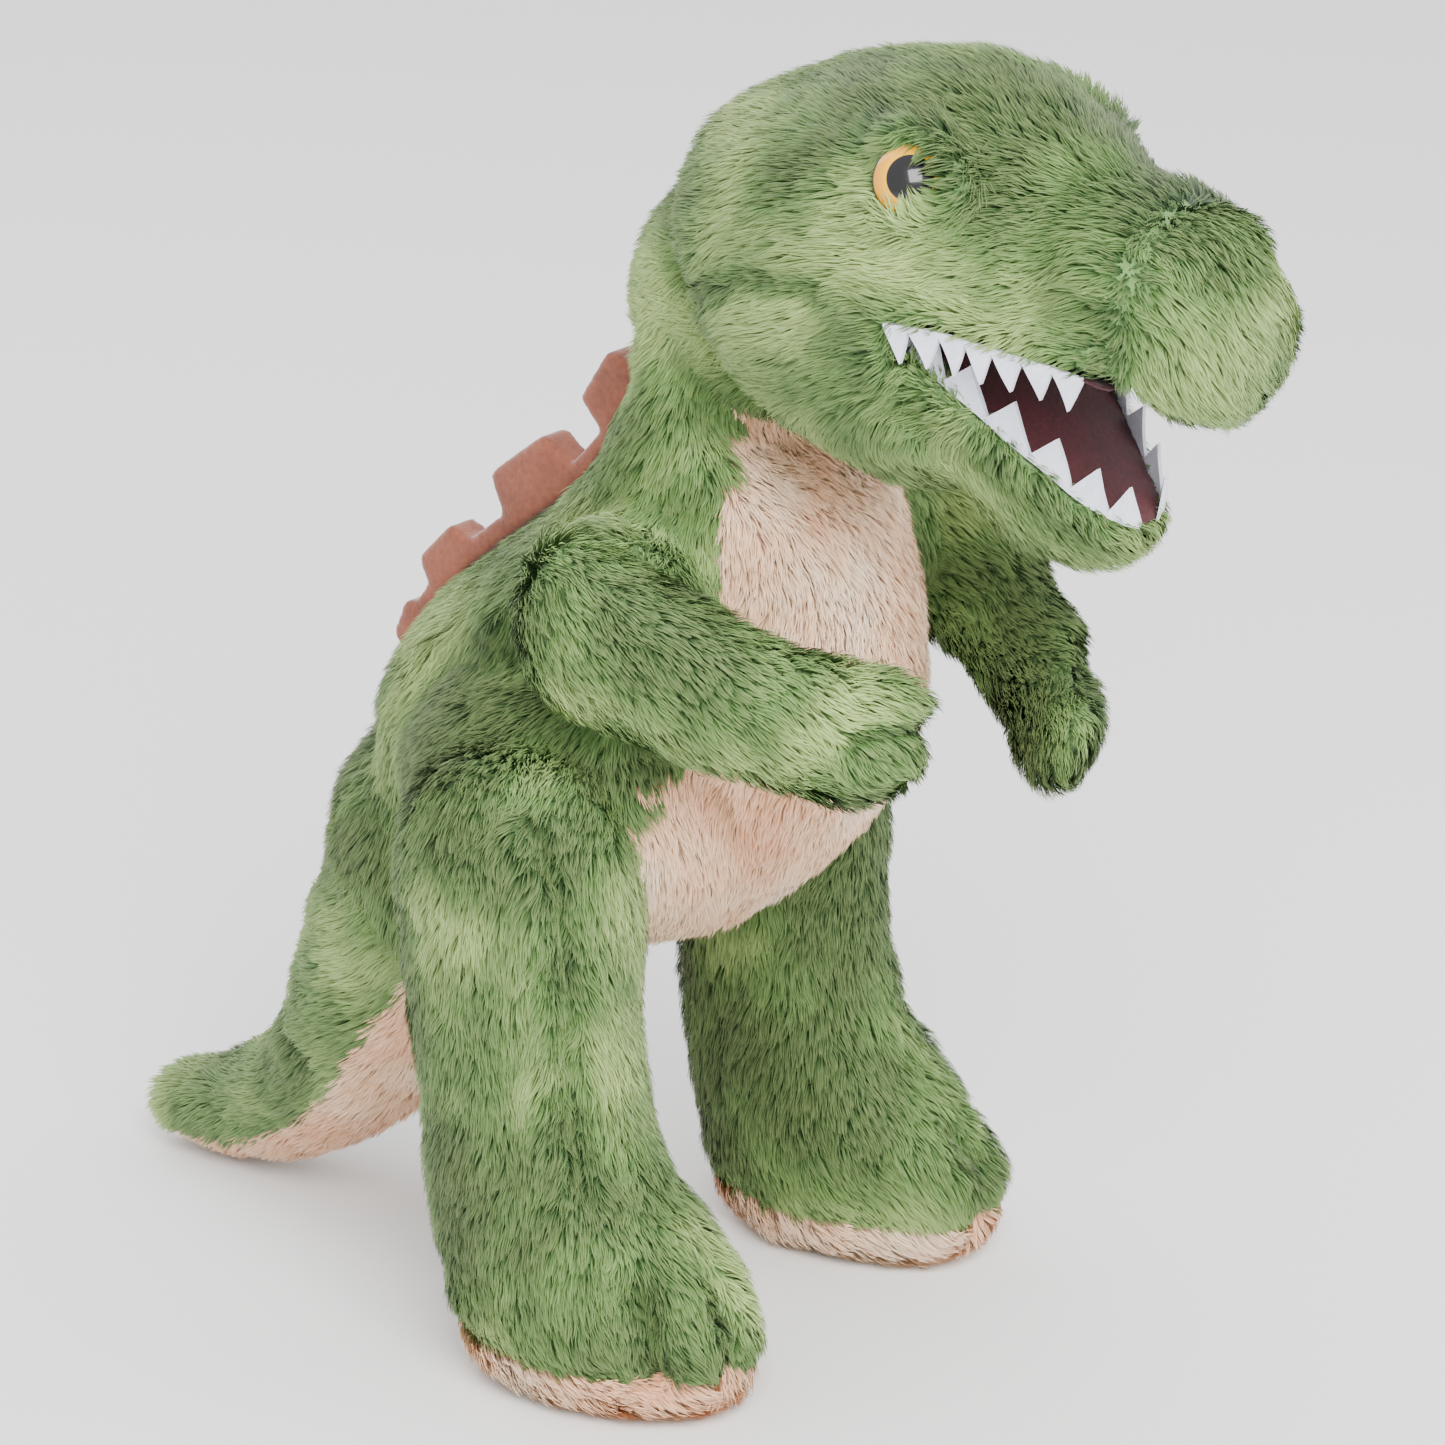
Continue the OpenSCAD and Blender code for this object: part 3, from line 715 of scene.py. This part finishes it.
def velour_material(name, stops, scale, sheen):
    """Short cut pile, with soft light and dark strokes."""
    material, tree, shader = new_material(name)
    place = object_place(tree)
    grain = noise(tree, place, scale, roughness=0.65)
    strokes = noise(tree, place, STROKE_SCALE)
    tree.links.new(ramp(tree, blended(tree, grain, 0.45, strokes), stops), shader.inputs["Base Color"])
    bumped(tree, shader, grain, 0.6, VELOUR_RELIEF)
    socket(shader, "Roughness", 0.75)
    socket(shader, "Sheen Weight", sheen)
    socket(shader, "Sheen Roughness", 0.4)
    return material


# ---- skins ----

def ellipsoid(centre, radii, rings=16):
    """A closed ball stretched to the given radii."""
    points, faces = [(0, 0, -1)], []
    for i in range(1, rings):
        down = math.pi * i / rings
        for j in range(2 * rings):
            turn = math.pi * j / rings
            x, y = math.sin(down) * math.cos(turn), math.sin(down) * math.sin(turn)
            points.append((x, y, -math.cos(down)))
    points.append((0, 0, 1))
    wide, last = 2 * rings, len(points) - 1
    for j in range(wide):
        after = (j + 1) % wide
        faces.append((0, 1 + after, 1 + j))
        faces.append((last, last - wide + j, last - wide + after))
        for i in range(rings - 2):
            low = 1 + i * wide
            faces.append((low + j, low + after, low + wide + after))
            faces.append((low + j, low + wide + after, low + wide + j))
    return np.array(points) * np.array(radii) + np.array(centre), np.array(faces)


def fill_for(body):
    """Balls that fill a body out and close the hollows round its joints, where the fabric carries on."""
    if body == "torso":
        hip = (joint_at("leg_right") + joint_at("leg_left")) / 2
        hips = ellipsoid((0, hip[1] + HIP_FILL_BACK, hip[2] + HIP_FILL_UP), HIP_FILL)
        back = np.array([0, SHOULDER_FILL_BACK, 0])
        shoulders = [ellipsoid(joint_at(arm) + back, SHOULDER_FILL) for arm in ("arm_right", "arm_left")]
        tail_root = ellipsoid(joint_at("tail"), (TAIL_ROOT,) * 3)
        return [hips, tail_root, ellipsoid(RUMP_FILL_AT, RUMP_FILL)] + shoulders
    if body == "head":
        low, high = nose_line.min(0), nose_line.max(0)
        half = (high - low) / 2 + SNOUT_FILL_WIDER
        snout = ellipsoid((low + high) / 2 + SNOUT_FILL_MOVED, (half[0], SNOUT_FILL_LENGTH, half[2]))
        return [snout, ellipsoid(joint_at(body), (JOINT_BALL[body],) * 3)]
    if body == "tail":
        return [ellipsoid(joint_at(body), (JOINT_BALL[body],) * 3)]
    return []


def sink(points, normals, centre_line, width, depth):
    """Pulls the skin in along a seam or crease."""
    distance, _ = away_from(points, centre_line)
    return points - normals * (depth * np.exp(-(distance / width) ** 2))[:, None]


def laid_on(line, points):
    """The skin's corners nearest to a line's points."""
    return points[nearest_of(points, line)]


def from_lips(points):
    """Distance of each point from the nearer strip of teeth."""
    return np.minimum(distance_to("upper_teeth_strip", points), distance_to("lower_teeth_strip", points))


def make_skin(body):
    """The fabric of one body, under its pile: corners and triangles."""
    sources = [cad[name] for name in PANELS[body] + FILLINGS[body]] + fill_for(body)
    points, triangles = remeshed(*joined(sources), VOXEL)
    points = smoothed(points, triangles, SMOOTHING)
    normals = normals_of(points, triangles)
    depth = np.full(len(points), PILE_DEPTH)
    if body == "head":
        depth *= LIP_INSET + (1 - LIP_INSET) * eased(from_lips(points) / LIP_BLEND)
    points = points - normals * depth[:, None]
    creases[body] = [(laid_on(line, points), *size) for line, *size in creases.get(body, [])]
    for line, width, depth in creases[body]:
        points = sink(points, normals_of(points, triangles), line, width, depth)
    points = smoothed(points, triangles, CREASE_SMOOTHING)
    points[:, 2] = np.maximum(points[:, 2], SOLE_GAP)
    return points, triangles


# ---- pile ----

def flow_of(body, points):
    """The way the pile is combed at each point."""
    y, z = points[:, 1], points[:, 2]
    flow = np.tile(np.array(COMBED[body], float), (len(points), 1))
    if body.startswith("leg"):
        hub = joint_at(body)
        flow[:, 0] += np.sign(hub[0]) * eased((z - hub[2]) / THIGH_TOP) * THIGH_OUTWARDS
        flow[:, 1] -= eased((ANKLE - z) / ANKLE) * ANKLE_FORWARDS
        flow[:, 2] += eased((FOOT_TOP - z) / FOOT_TOP) * FOOT_LEVEL
    if body == "head":
        jaw = eased((JAW_TOP - z) / JAW_BLEND)
        flow += jaw[:, None] * (np.array(JAW_COMBED) - flow)
        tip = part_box("nose_panel")[1][1] / MM
        nose = eased((tip - y) / NOSE_BLEND)
        flow += nose[:, None] * (np.array(NOSE_COMBED) - flow)
    return flow


def inside(name, points):
    """True for points inside a closed CAD solid: a ray from them crosses it an odd number of times."""
    tree = trees[name]
    low, high = (np.array(v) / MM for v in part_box(name))
    found = np.all((points > low) & (points < high), 1)
    for i in np.flatnonzero(found):
        start, crossings = Vector(points[i]), 0
        while crossings < MOST_CROSSINGS:
            place = tree.ray_cast(start, ALONG_RAY)[0]
            if place is None:
                break
            crossings += 1
            start = place + ALONG_RAY * RAY_STEP
        found[i] = crossings % 2 == 1
    return found


def covered(body, points):
    """True where a neighbour's filling hides the skin, so that it needs no pile."""
    hidden = np.zeros(len(points), bool)
    for other in NEIGHBOURS[body]:
        for name in FILLINGS[other]:
            deep = inside(name, points)
            deep[deep] = distance_to(name, points[deep]) > HIDDEN_DEPTH
            hidden |= deep
    return hidden


def sampled(points, triangles, weights, density):
    """Random places on a mesh: triangle indices and shares of its corners."""
    a, b, c = (points[triangles[:, i]] for i in range(3))
    area = np.linalg.norm(np.cross(b - a, c - a), axis=1) / 2 * weights[triangles].mean(1)
    count = int(area.sum() * density)
    pick = np.searchsorted(np.cumsum(area), rng.uniform(0, area.sum(), count))
    pick = np.minimum(pick, len(area) - 1)
    u, v = np.sqrt(rng.uniform(size=count)), rng.uniform(size=count)
    return pick, np.stack([1 - u, u * (1 - v), u * v], 1)


def strands_mesh(name, spine, width_axis, widths, normals, facts):
    """One mesh of flat strands. spine has each strand's points, from its root to its tip."""
    count, rows = spine.shape[:2]
    sides = rows * 2 - 1
    corners = np.empty((count, sides, 3))
    for i in range(rows - 1):
        half = width_axis * (widths * WIDTH_ALONG[i] / 2)[:, None]
        corners[:, 2 * i] = spine[:, i] - half
        corners[:, 2 * i + 1] = spine[:, i] + half
    corners[:, -1] = spine[:, -1]
    corners[..., 2] = np.maximum(corners[..., 2], FLOOR_GAP)
    first = np.arange(count)[:, None] * sides
    quads = [first + np.array([[2 * i, 2 * i + 1, 2 * i + 3, 2 * i + 2]]) for i in range(rows - 2)]
    tips = first + np.array([[sides - 3, sides - 2, sides - 1]])
    loops = np.concatenate([q.ravel() for q in quads] + [tips.ravel()])
    sizes = np.concatenate([np.full(count * (rows - 2), 4), np.full(count, 3)])
    mesh = bpy.data.meshes.new(name)
    mesh.vertices.add(count * sides)
    place_corners(mesh, corners)
    mesh.loops.add(len(loops))
    mesh.loops.foreach_set("vertex_index", loops.astype(np.int32))
    mesh.polygons.add(len(sizes))
    starts = np.concatenate([[0], np.cumsum(sizes)[:-1]])
    mesh.polygons.foreach_set("loop_start", starts.astype(np.int32))
    mesh.update(calc_edges=True)
    mesh.validate()
    mesh.polygons.foreach_set("use_smooth", np.ones(len(mesh.polygons), bool))
    along = np.repeat(np.linspace(0, 1, rows), 2)[:sides]
    add_attribute(mesh, "along", np.tile(along, count))
    for key, value in facts.items():
        add_attribute(mesh, key, np.repeat(value, sides, axis=0))
    mesh.normals_split_custom_set_from_vertices(np.repeat(normals, sides, axis=0).tolist())
    return linked(name, mesh)


def add_attribute(mesh, name, values):
    """Stores a number or a vector on each corner."""
    values = np.asarray(values, np.float32)
    kind, key = ("FLOAT", "value") if values.ndim == 1 else ("FLOAT_VECTOR", "vector")
    mesh.attributes.new(name, kind, "POINT").data.foreach_set(key, values.ravel())


def nearest_panel(body, points):
    """The body's panels, and which of them each point is on."""
    names = PANELS[body] + (LININGS if body == "head" else [])
    nearest = np.stack([distance_to(name, points) for name in names], 1).argmin(1)
    if body == "torso":
        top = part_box("belly_panel")[1].z / MM - THROAT_OVERLAP
        back = joint_at("head")[1] + THROAT_BACK
        throat = (points[:, 2] > top) & (np.abs(points[:, 0]) < THROAT_HALF) & (points[:, 1] < back)
        nearest[throat] = names.index("belly_panel")
    return names, nearest


def dye_and_painted_shading_at(points):
    """Darker and lighter places in the fur, as a shift of the mottling: partly the dye's, partly painted
    shade and painted light.
    """
    shift = np.zeros(len(points))
    for x, y, z, radius, amount in DYE_AND_PAINTED_SHADING_PATCHES:
        near = np.linalg.norm(points - np.array([x, y, z]), axis=1) / radius
        shift += amount * np.exp(-near ** 2)
    return shift


def parted(body, points):
    """How far each point is from a seam or crease, in its widths, and which way the pile parts there."""
    seam_near, part = np.full(len(points), FAR_AWAY), np.zeros_like(points)
    for line, width, depth in creases[body]:
        if depth < 0:  # a lid stands out, so its pile doesn't part
            continue
        distance, direction = away_from(points, line)
        near = np.exp(-(distance / (width * PARTING_REACH)) ** 2)
        part += direction * near[:, None]
        seam_near = np.minimum(seam_near, distance / width)
    return seam_near, part


def grow(body, points, triangles):
    """All the pile of one body, as one object for each panel."""
    normals = normals_of(points, triangles)
    names, nearest = nearest_panel(body, points)
    weights = (~covered(body, points)).astype(float)
    weights[points[:, 2] < SOLE_PILE_FROM] *= UNDERFOOT_SHARE
    seam_near, part = parted(body, points)
    pick, shares = sampled(points, triangles, weights, DENSITY)
    corners = triangles[pick]

    def at(values):
        """Values of the skin's corners at the strands' roots."""
        return np.einsum("ij,ijk->ik", shares, values[corners].reshape(len(pick), 3, -1))

    root = at(points)
    normal = unit(at(normals))
    flow = unit(flow_of(body, root)) + at(part) * PARTING
    flow += sum(wave_vectors(root, size, seed) * amount for size, seed, amount in FLOW_WAVES)
    flow += rng.normal(size=flow.shape) * FLOW_SPREAD
    near_seam = np.exp(-(at(seam_near[:, None])[:, 0] * SEAM_FALL) ** 2)
    panel = nearest[corners[np.arange(len(pick)), shares.argmax(1)]]
    peach = np.isin(panel, [i for i, n in enumerate(names) if n in PEACH])
    length = np.where(peach, STRAND_LENGTH["peach"], STRAND_LENGTH["green"])
    size, seed, amount = LENGTH_WAVES
    length = length * rng.uniform(*LENGTH_RANGE, len(pick)) * (1 + amount * waves(root, size, seed))
    if body.startswith("leg"):
        hem = eased((root[:, 2] - HEM_FROM) / HEM_BLEND)
        length *= np.where(peach, 1, HEM_LENGTH + (1 - HEM_LENGTH) * hem)
    length *= 1 - SEAM_SHORTER * near_seam
    lift = np.ones(len(pick))
    kept = np.ones(len(pick), bool)
    if body == "head":
        length, flow, lift, kept = round_the_face(root, length, flow, lift, kept)
    tangent = unit(flow - normal * np.sum(flow * normal, 1, keepdims=True))
    spine = [root - normal * ROOT_DEPTH]
    for degrees in LEAN:
        angle = np.radians(degrees * lift + rng.normal(size=len(pick)) * LEAN_SPREAD)[:, None]
        step = tangent * np.cos(angle) + normal * np.sin(angle)
        spine.append(spine[-1] + step * (length / len(LEAN))[:, None])
    spine = clumped(np.stack(spine, 1))
    twist = rng.normal(size=len(pick))[:, None] * TWIST
    across = unit(unit(np.cross(tangent, normal)) + normal * twist)
    soft = normal * SOFT_NORMAL + tangent * SOFT_TANGENT
    soft = unit(soft + rng.normal(size=normal.shape) * SOFT_SPREAD)
    facts = {
        "root": root * MM,
        "tone": rng.uniform(size=len(pick)),
        # Dye patches with painted shade and painted light, less painted shade along seams and creases
        "dye_and_painted_shading": dye_and_painted_shading_at(root) - SEAM_PAINTED_SHADE * near_seam,
    }
    widths = STRAND_WIDTH * rng.uniform(*WIDTH_RANGE, len(pick))
    made = []
    for i, name in enumerate(names):
        mine = (panel == i) & kept
        if name in LININGS or not mine.any():
            continue
        chosen = {key: value[mine] for key, value in facts.items()}
        pile = strands_mesh(f"{name}_pile", spine[mine], across[mine], widths[mine], soft[mine], chosen)
        pile.data.materials.append(materials["peach" if name in PEACH else "green"])
        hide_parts(name)
        made.append(pile)
    return made


def clumped(spine):
    """Draws the strands' tips together in small tufts."""
    leaders = np.arange(0, len(spine), CLUMP_SIZE)
    mine = leaders[nearest_of(spine[leaders, 0], spine[:, 0])]
    last = spine.shape[1] - 1
    for i in range(1, last + 1):
        pull = CLUMP_PULL * (i / last) ** CLUMP_CURVE
        spine[:, i] += (spine[mine, i] - spine[:, i]) * pull
    return spine


def round_the_face(root, length, flow, lift, kept):
    """The pile is shorter at the lips, and hangs over each eye from its brow and its lower lid."""
    lips = eased(from_lips(root) / LIP_BLEND)
    length = length * (LIP_LENGTH + (1 - LIP_LENGTH) * lips)
    lift = lift * (1 + LIP_RAISED * (1 - lips))
    for centre, out, forward, up in eye_places.values():
        offset = root - centre
        flat = offset - np.outer(offset @ out, out)
        distance = np.linalg.norm(flat, axis=1)
        close = (distance < EYE_BLEND) & (np.abs(offset @ out) < EYE_BLEND)
        kept &= ~((distance < EYE_CLEAR) & close)
        amount = (1 - eased((distance - EYE_CLEAR) / (EYE_BLEND - EYE_CLEAR))) * close
        ahead = (flat @ forward * LID_AHEAD + np.abs(flat @ up) * LID_ACROSS) / np.maximum(distance, 1)
        lid = amount * eased((ahead - LID_FROM) / (1 - LID_FROM) * LID_RISE)
        flow += (unit(-flat) - flow) * (lid * LID_TURN)[:, None]
        length = length * (1 + lid * (LID_LENGTH - 1))
    return length, flow, lift, kept


# ---- the toy ----

def coloured(thing, material):
    """Gives a piece its one material."""
    thing.data.materials.clear()
    thing.data.materials.append(material)
    return thing


def knitted(backing, body):
    """Gives a body's fabric its colours, panel by panel."""
    coloured(backing, materials["green_knit"])
    backing.data.materials.append(materials["peach_knit"])
    points, triangles = mesh_arrays(backing.data)
    names, nearest = nearest_panel(body, points)
    peach = np.array([name in PEACH for name in names])
    backing.data.polygons.foreach_set("material_index", peach[nearest][triangles[:, 0]].astype(np.int32))
    return backing


def shade_smooth(thing):
    """Shades a piece without facets."""
    thing.data.polygons.foreach_set("use_smooth", np.ones(len(thing.data.polygons), bool))
    return thing


def crease_lines():
    """Seams and creases of each body as (line, width, depth), in millimetres."""
    lids = []
    for centre, out, forward, up in eye_places.values():
        for line, *size in LIDS:
            places = np.array([centre + forward * a + up * b - out * PILE_DEPTH for a, b in line])
            lids.append((dense(places), *size))
    found = {
        "head": [(nose_line, *NOSE_CREASE)] + [(dense(line), *size) for line, *size in HEAD_CREASES] + lids,
        "tail": [(dense(line), *size) for line, *size in TAIL_CREASES],
    }
    for limb, creases_of_limb in (("leg", LEG_CREASES), ("arm", ARM_CREASES)):
        for side, flip in (("right", 1), ("left", -1)):
            body = f"{limb}_{side}"
            found[body] = [
                (dense(np.array(line) * (flip, 1, 1) + joint_at(body)), *size)
                for line, *size in creases_of_limb
            ]
    return found


def eye_place(side):
    """An eye's centre in millimetres, and its directions outwards, forwards and upwards."""
    points = cad[f"eye_{side}"][0]
    washer = cad[f"eye_washer_{side}"][0].mean(0)
    far = np.linalg.norm(points - washer, axis=1) > EYE_FACE
    out = unit(points[far].mean(0) - washer)
    front = ((points - washer) @ out).max()
    forward = unit(np.array([0, -1, 0]) + out * out[1])
    up = np.cross(out, forward)
    up = up * np.sign(up[2])
    return washer + out * (front - EYE_DOME - EYE_SUNK), out, forward, up


def make_eye(side):
    """A moulded eye: a clear dome over an amber ring and a black pupil."""
    centre, out, _, _ = eye_places[side]
    ball = (EYE_RADIUS ** 2 + EYE_DOME ** 2) / (2 * EYE_DOME)
    tilts = [math.asin(EYE_RADIUS / ball) * i / EYE_RINGS for i in range(1, EYE_RINGS + 1)]
    outline = [(ball * math.sin(tilt), EYE_DOME - ball * (1 - math.cos(tilt))) for tilt in tilts]
    outline.append((EYE_RADIUS, -EYE_SKIRT))
    points, faces = [(0.0, 0.0, EYE_DOME)], []
    for radius, height in outline:
        for j in range(EYE_AROUND):
            turn = 2 * math.pi * j / EYE_AROUND
            points.append((radius * math.cos(turn), radius * math.sin(turn), height))
    for j in range(EYE_AROUND):
        after = (j + 1) % EYE_AROUND
        faces.append((0, 1 + j, 1 + after))
        for i in range(EYE_RINGS):
            a, b = 1 + i * EYE_AROUND, 1 + (i + 1) * EYE_AROUND
            faces.append((a + j, b + j, b + after, a + after))
    points = np.array(points)
    turned = np.array(Vector(out).to_track_quat("Z", "Y").to_matrix())
    thing = new_object(f"eye_{side}_dome", points @ turned.T + centre, faces)
    add_attribute(thing.data, "spread", np.hypot(points[:, 0], points[:, 1]) / EYE_RADIUS)
    return shade_smooth(thing)


def eye_material():
    """Clear plastic over paint: black pupil, amber ring, black rim."""
    material, tree, shader = new_material("moulded_eye")
    spread = attribute(tree, "spread").outputs["Fac"]
    tree.links.new(ramp(tree, spread, EYE_STOPS), shader.inputs["Base Color"])
    socket(shader, "Roughness", 0.22)
    socket(shader, "Specular IOR Level", 0.2)
    socket(shader, "Coat Weight", 0.7)
    socket(shader, "Coat Roughness", 0.03)
    socket(shader, "Coat IOR", 1.5)
    return material


def make_lining(name, node):
    """A sewn lining of the CAD node's own shape, with its facets rounded."""
    points, triangles = remeshed(*cad[node], LINING_VOXEL)
    points = smoothed(points, triangles, LINING_SMOOTHING)
    points = points - normals_of(points, triangles) * LINING_INSET
    thing = new_object(name, points, triangles)
    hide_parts(node)
    return shade_smooth(thing)


def make_teeth(name, node):
    """A zigzag strip of felt, cut crisply, whose teeth curl a little."""
    points, triangles = cad[node]
    thing = new_object(name, points, triangles)
    modifier = thing.modifiers.new("even", "SUBSURF")
    modifier.subdivision_type = "SIMPLE"
    modifier.levels = modifier.render_levels = TOOTH_SPLITS
    evaluated = thing.evaluated_get(bpy.context.evaluated_depsgraph_get())
    mesh = bpy.data.meshes.new_from_object(evaluated)
    thing.modifiers.clear()
    thing.data = mesh
    even, _ = mesh_arrays(mesh)
    for axis, (size, seed, amount) in enumerate(TOOTH_CURL):
        even[:, axis] += waves(even, size, seed) * amount
    place_corners(mesh, even)
    mesh.update()
    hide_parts(node)
    return thing


def make_ridge():
    """The plush plates down the back, stuffed until they are round."""
    points, triangles = remeshed(*cad["back_ridge"], RIDGE_VOXEL)
    thing = new_object("back_plates", smoothed(points, triangles, RIDGE_SMOOTHING), triangles)
    inflate(thing, RIDGE_PUFF)
    points, triangles = mesh_arrays(thing.data)
    place_corners(thing.data, smoothed(points, triangles, PUFFED_SMOOTHING))
    thing.data.update()
    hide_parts("back_ridge", "ridge_stuffing")
    return shade_smooth(thing)


def inflate(thing, most):
    """A cloth simulation with pressure inside. No point moves more than most millimetres."""
    before, _ = mesh_arrays(thing.data)
    thing.modifiers.new("cloth", "CLOTH")
    cloth = thing.modifiers["cloth"].settings
    cloth.use_pressure = True
    cloth.uniform_pressure_force = PRESSURE
    cloth.effector_weights.gravity = 0
    scene = bpy.context.scene
    for step in range(CLOTH_FRAMES):
        scene.frame_set(step + 1)
    evaluated = thing.evaluated_get(bpy.context.evaluated_depsgraph_get())
    after, _ = mesh_arrays(evaluated.to_mesh())
    evaluated.to_mesh_clear()
    thing.modifiers.clear()
    scene.frame_set(1)
    move = after - before
    far = np.linalg.norm(move, axis=1, keepdims=True)
    place_corners(thing.data, before + move * np.minimum(1, most / np.maximum(far, TINY)))
    thing.data.update()


def attach(thing, body):
    """Lets a piece ride on its body, or, on a limb, leaves it without a parent and with its place baked into
    its corners.
    """
    if body in BENDS:
        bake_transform(thing)
    else:
        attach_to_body(thing, body)


materials = {
    "green": pile_material("green_pile", GREEN_STOPS, GREEN_TIP, GREEN_ROOT_PAINTED_SHADE, GREEN_TONES),
    "peach": pile_material("peach_pile", PEACH_STOPS, PEACH_TIP, PEACH_ROOT_PAINTED_SHADE, PEACH_TONES),
    "green_knit": backing_material("green_knit", GREEN_KNIT, GREEN_KNIT_DARK),
    "peach_knit": backing_material("peach_knit", PEACH_KNIT, PEACH_KNIT_DARK),
    "velour": velour_material("mouth_velour", MOUTH_STOPS, VELOUR_SCALE, sheen=0.1),
    "felt": felt_material("tooth_felt", FELT, FELT_SHADE),
    "plush": velour_material("plate_plush", PLATE_STOPS, PLUSH_SCALE, sheen=0.5),
    "eye": eye_material(),
    "washer": felt_material("washer_nylon", NYLON, NYLON_SHADE),
}

eye_places = {side: eye_place(side) for side in ("right", "left")}
nose_line = np.concatenate([seam("nose_panel", name) for name in ROUND_THE_NOSE])
creases = crease_lines()

for body in PANELS:
    skin_points, skin_triangles = make_skin(body)
    backing = shade_smooth(new_object(f"{body}_backing", skin_points, skin_triangles))
    knitted(backing, body)
    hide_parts(*FILLINGS[body])
    for piece in [backing] + grow(body, skin_points, skin_triangles):
        attach(piece, body)

for node, name in zip(LININGS, ("mouth_roof", "mouth_floor")):
    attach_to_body(coloured(make_lining(name, node), materials["velour"]), "head")
for node, name in (("upper_teeth_strip", "upper_teeth"), ("lower_teeth_strip", "lower_teeth")):
    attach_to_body(coloured(make_teeth(name, node), materials["felt"]), "head")
for side in ("right", "left"):
    eye = coloured(make_eye(side), materials["eye"])
    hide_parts(f"eye_{side}")
    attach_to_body(eye, "head")
    nodes[f"eye_washer_{side}"].data.materials.clear()
    nodes[f"eye_washer_{side}"].data.materials.append(materials["washer"])
ridge = coloured(make_ridge(), materials["plush"])
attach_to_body(ridge, "torso")


# ---- floor, light and camera ----

def area_light(name, place, energy, width):
    """A soft square lamp that faces the toy."""
    light = bpy.data.lights.new(name, "AREA")
    light.energy = energy
    light.size = width
    light.shape = "SQUARE"
    thing = linked(name, light)
    thing.location = place
    thing.rotation_euler = (Vector(LAMP_TARGET) - Vector(place)).to_track_quat("-Z", "Y").to_euler()


def make_floor():
    """A plain pale floor at z = 0."""
    mesh = bpy.data.meshes.new("floor")
    corners = [(x * FLOOR_HALF, y * FLOOR_HALF, 0) for x, y in ((-1, -1), (1, -1), (1, 1), (-1, 1))]
    mesh.from_pydata(corners, [], [(0, 1, 2, 3)])
    floor = linked("floor", mesh)
    material, _, shader = new_material("pale_floor")
    socket(shader, "Base Color", (*FLOOR_PAINT, 1))
    socket(shader, "Roughness", 0.9)
    mesh.materials.append(material)


def make_world():
    """Even white light from all round."""
    world = bpy.data.worlds.new("studio")
    bpy.context.scene.world = world
    world.use_nodes = True
    background = world.node_tree.nodes["Background"]
    socket(background, "Color", (*WHITE, 1))
    socket(background, "Strength", WORLD_LIGHT)


def make_camera():
    """The photograph's view."""
    turn, rise = math.radians(CAMERA_TURN), math.radians(CAMERA_RISE)
    towards = Vector((math.sin(turn) * math.cos(rise), -math.cos(turn) * math.cos(rise), math.sin(rise)))
    target = Vector(CAMERA_TARGET)
    data = bpy.data.cameras.new("camera")
    data.sensor_width = CAMERA_SENSOR
    data.lens = CAMERA_SENSOR * CAMERA_DISTANCE / CAMERA_VIEW_WIDTH
    camera = linked("camera", data)
    camera.location = target + towards * CAMERA_DISTANCE
    camera.rotation_euler = (-towards).to_track_quat("-Z", "Y").to_euler()
    bpy.context.scene.camera = camera


make_floor()
make_world()
for name, (place, energy, width) in LAMPS.items():
    area_light(name, place, energy, width)
make_camera()
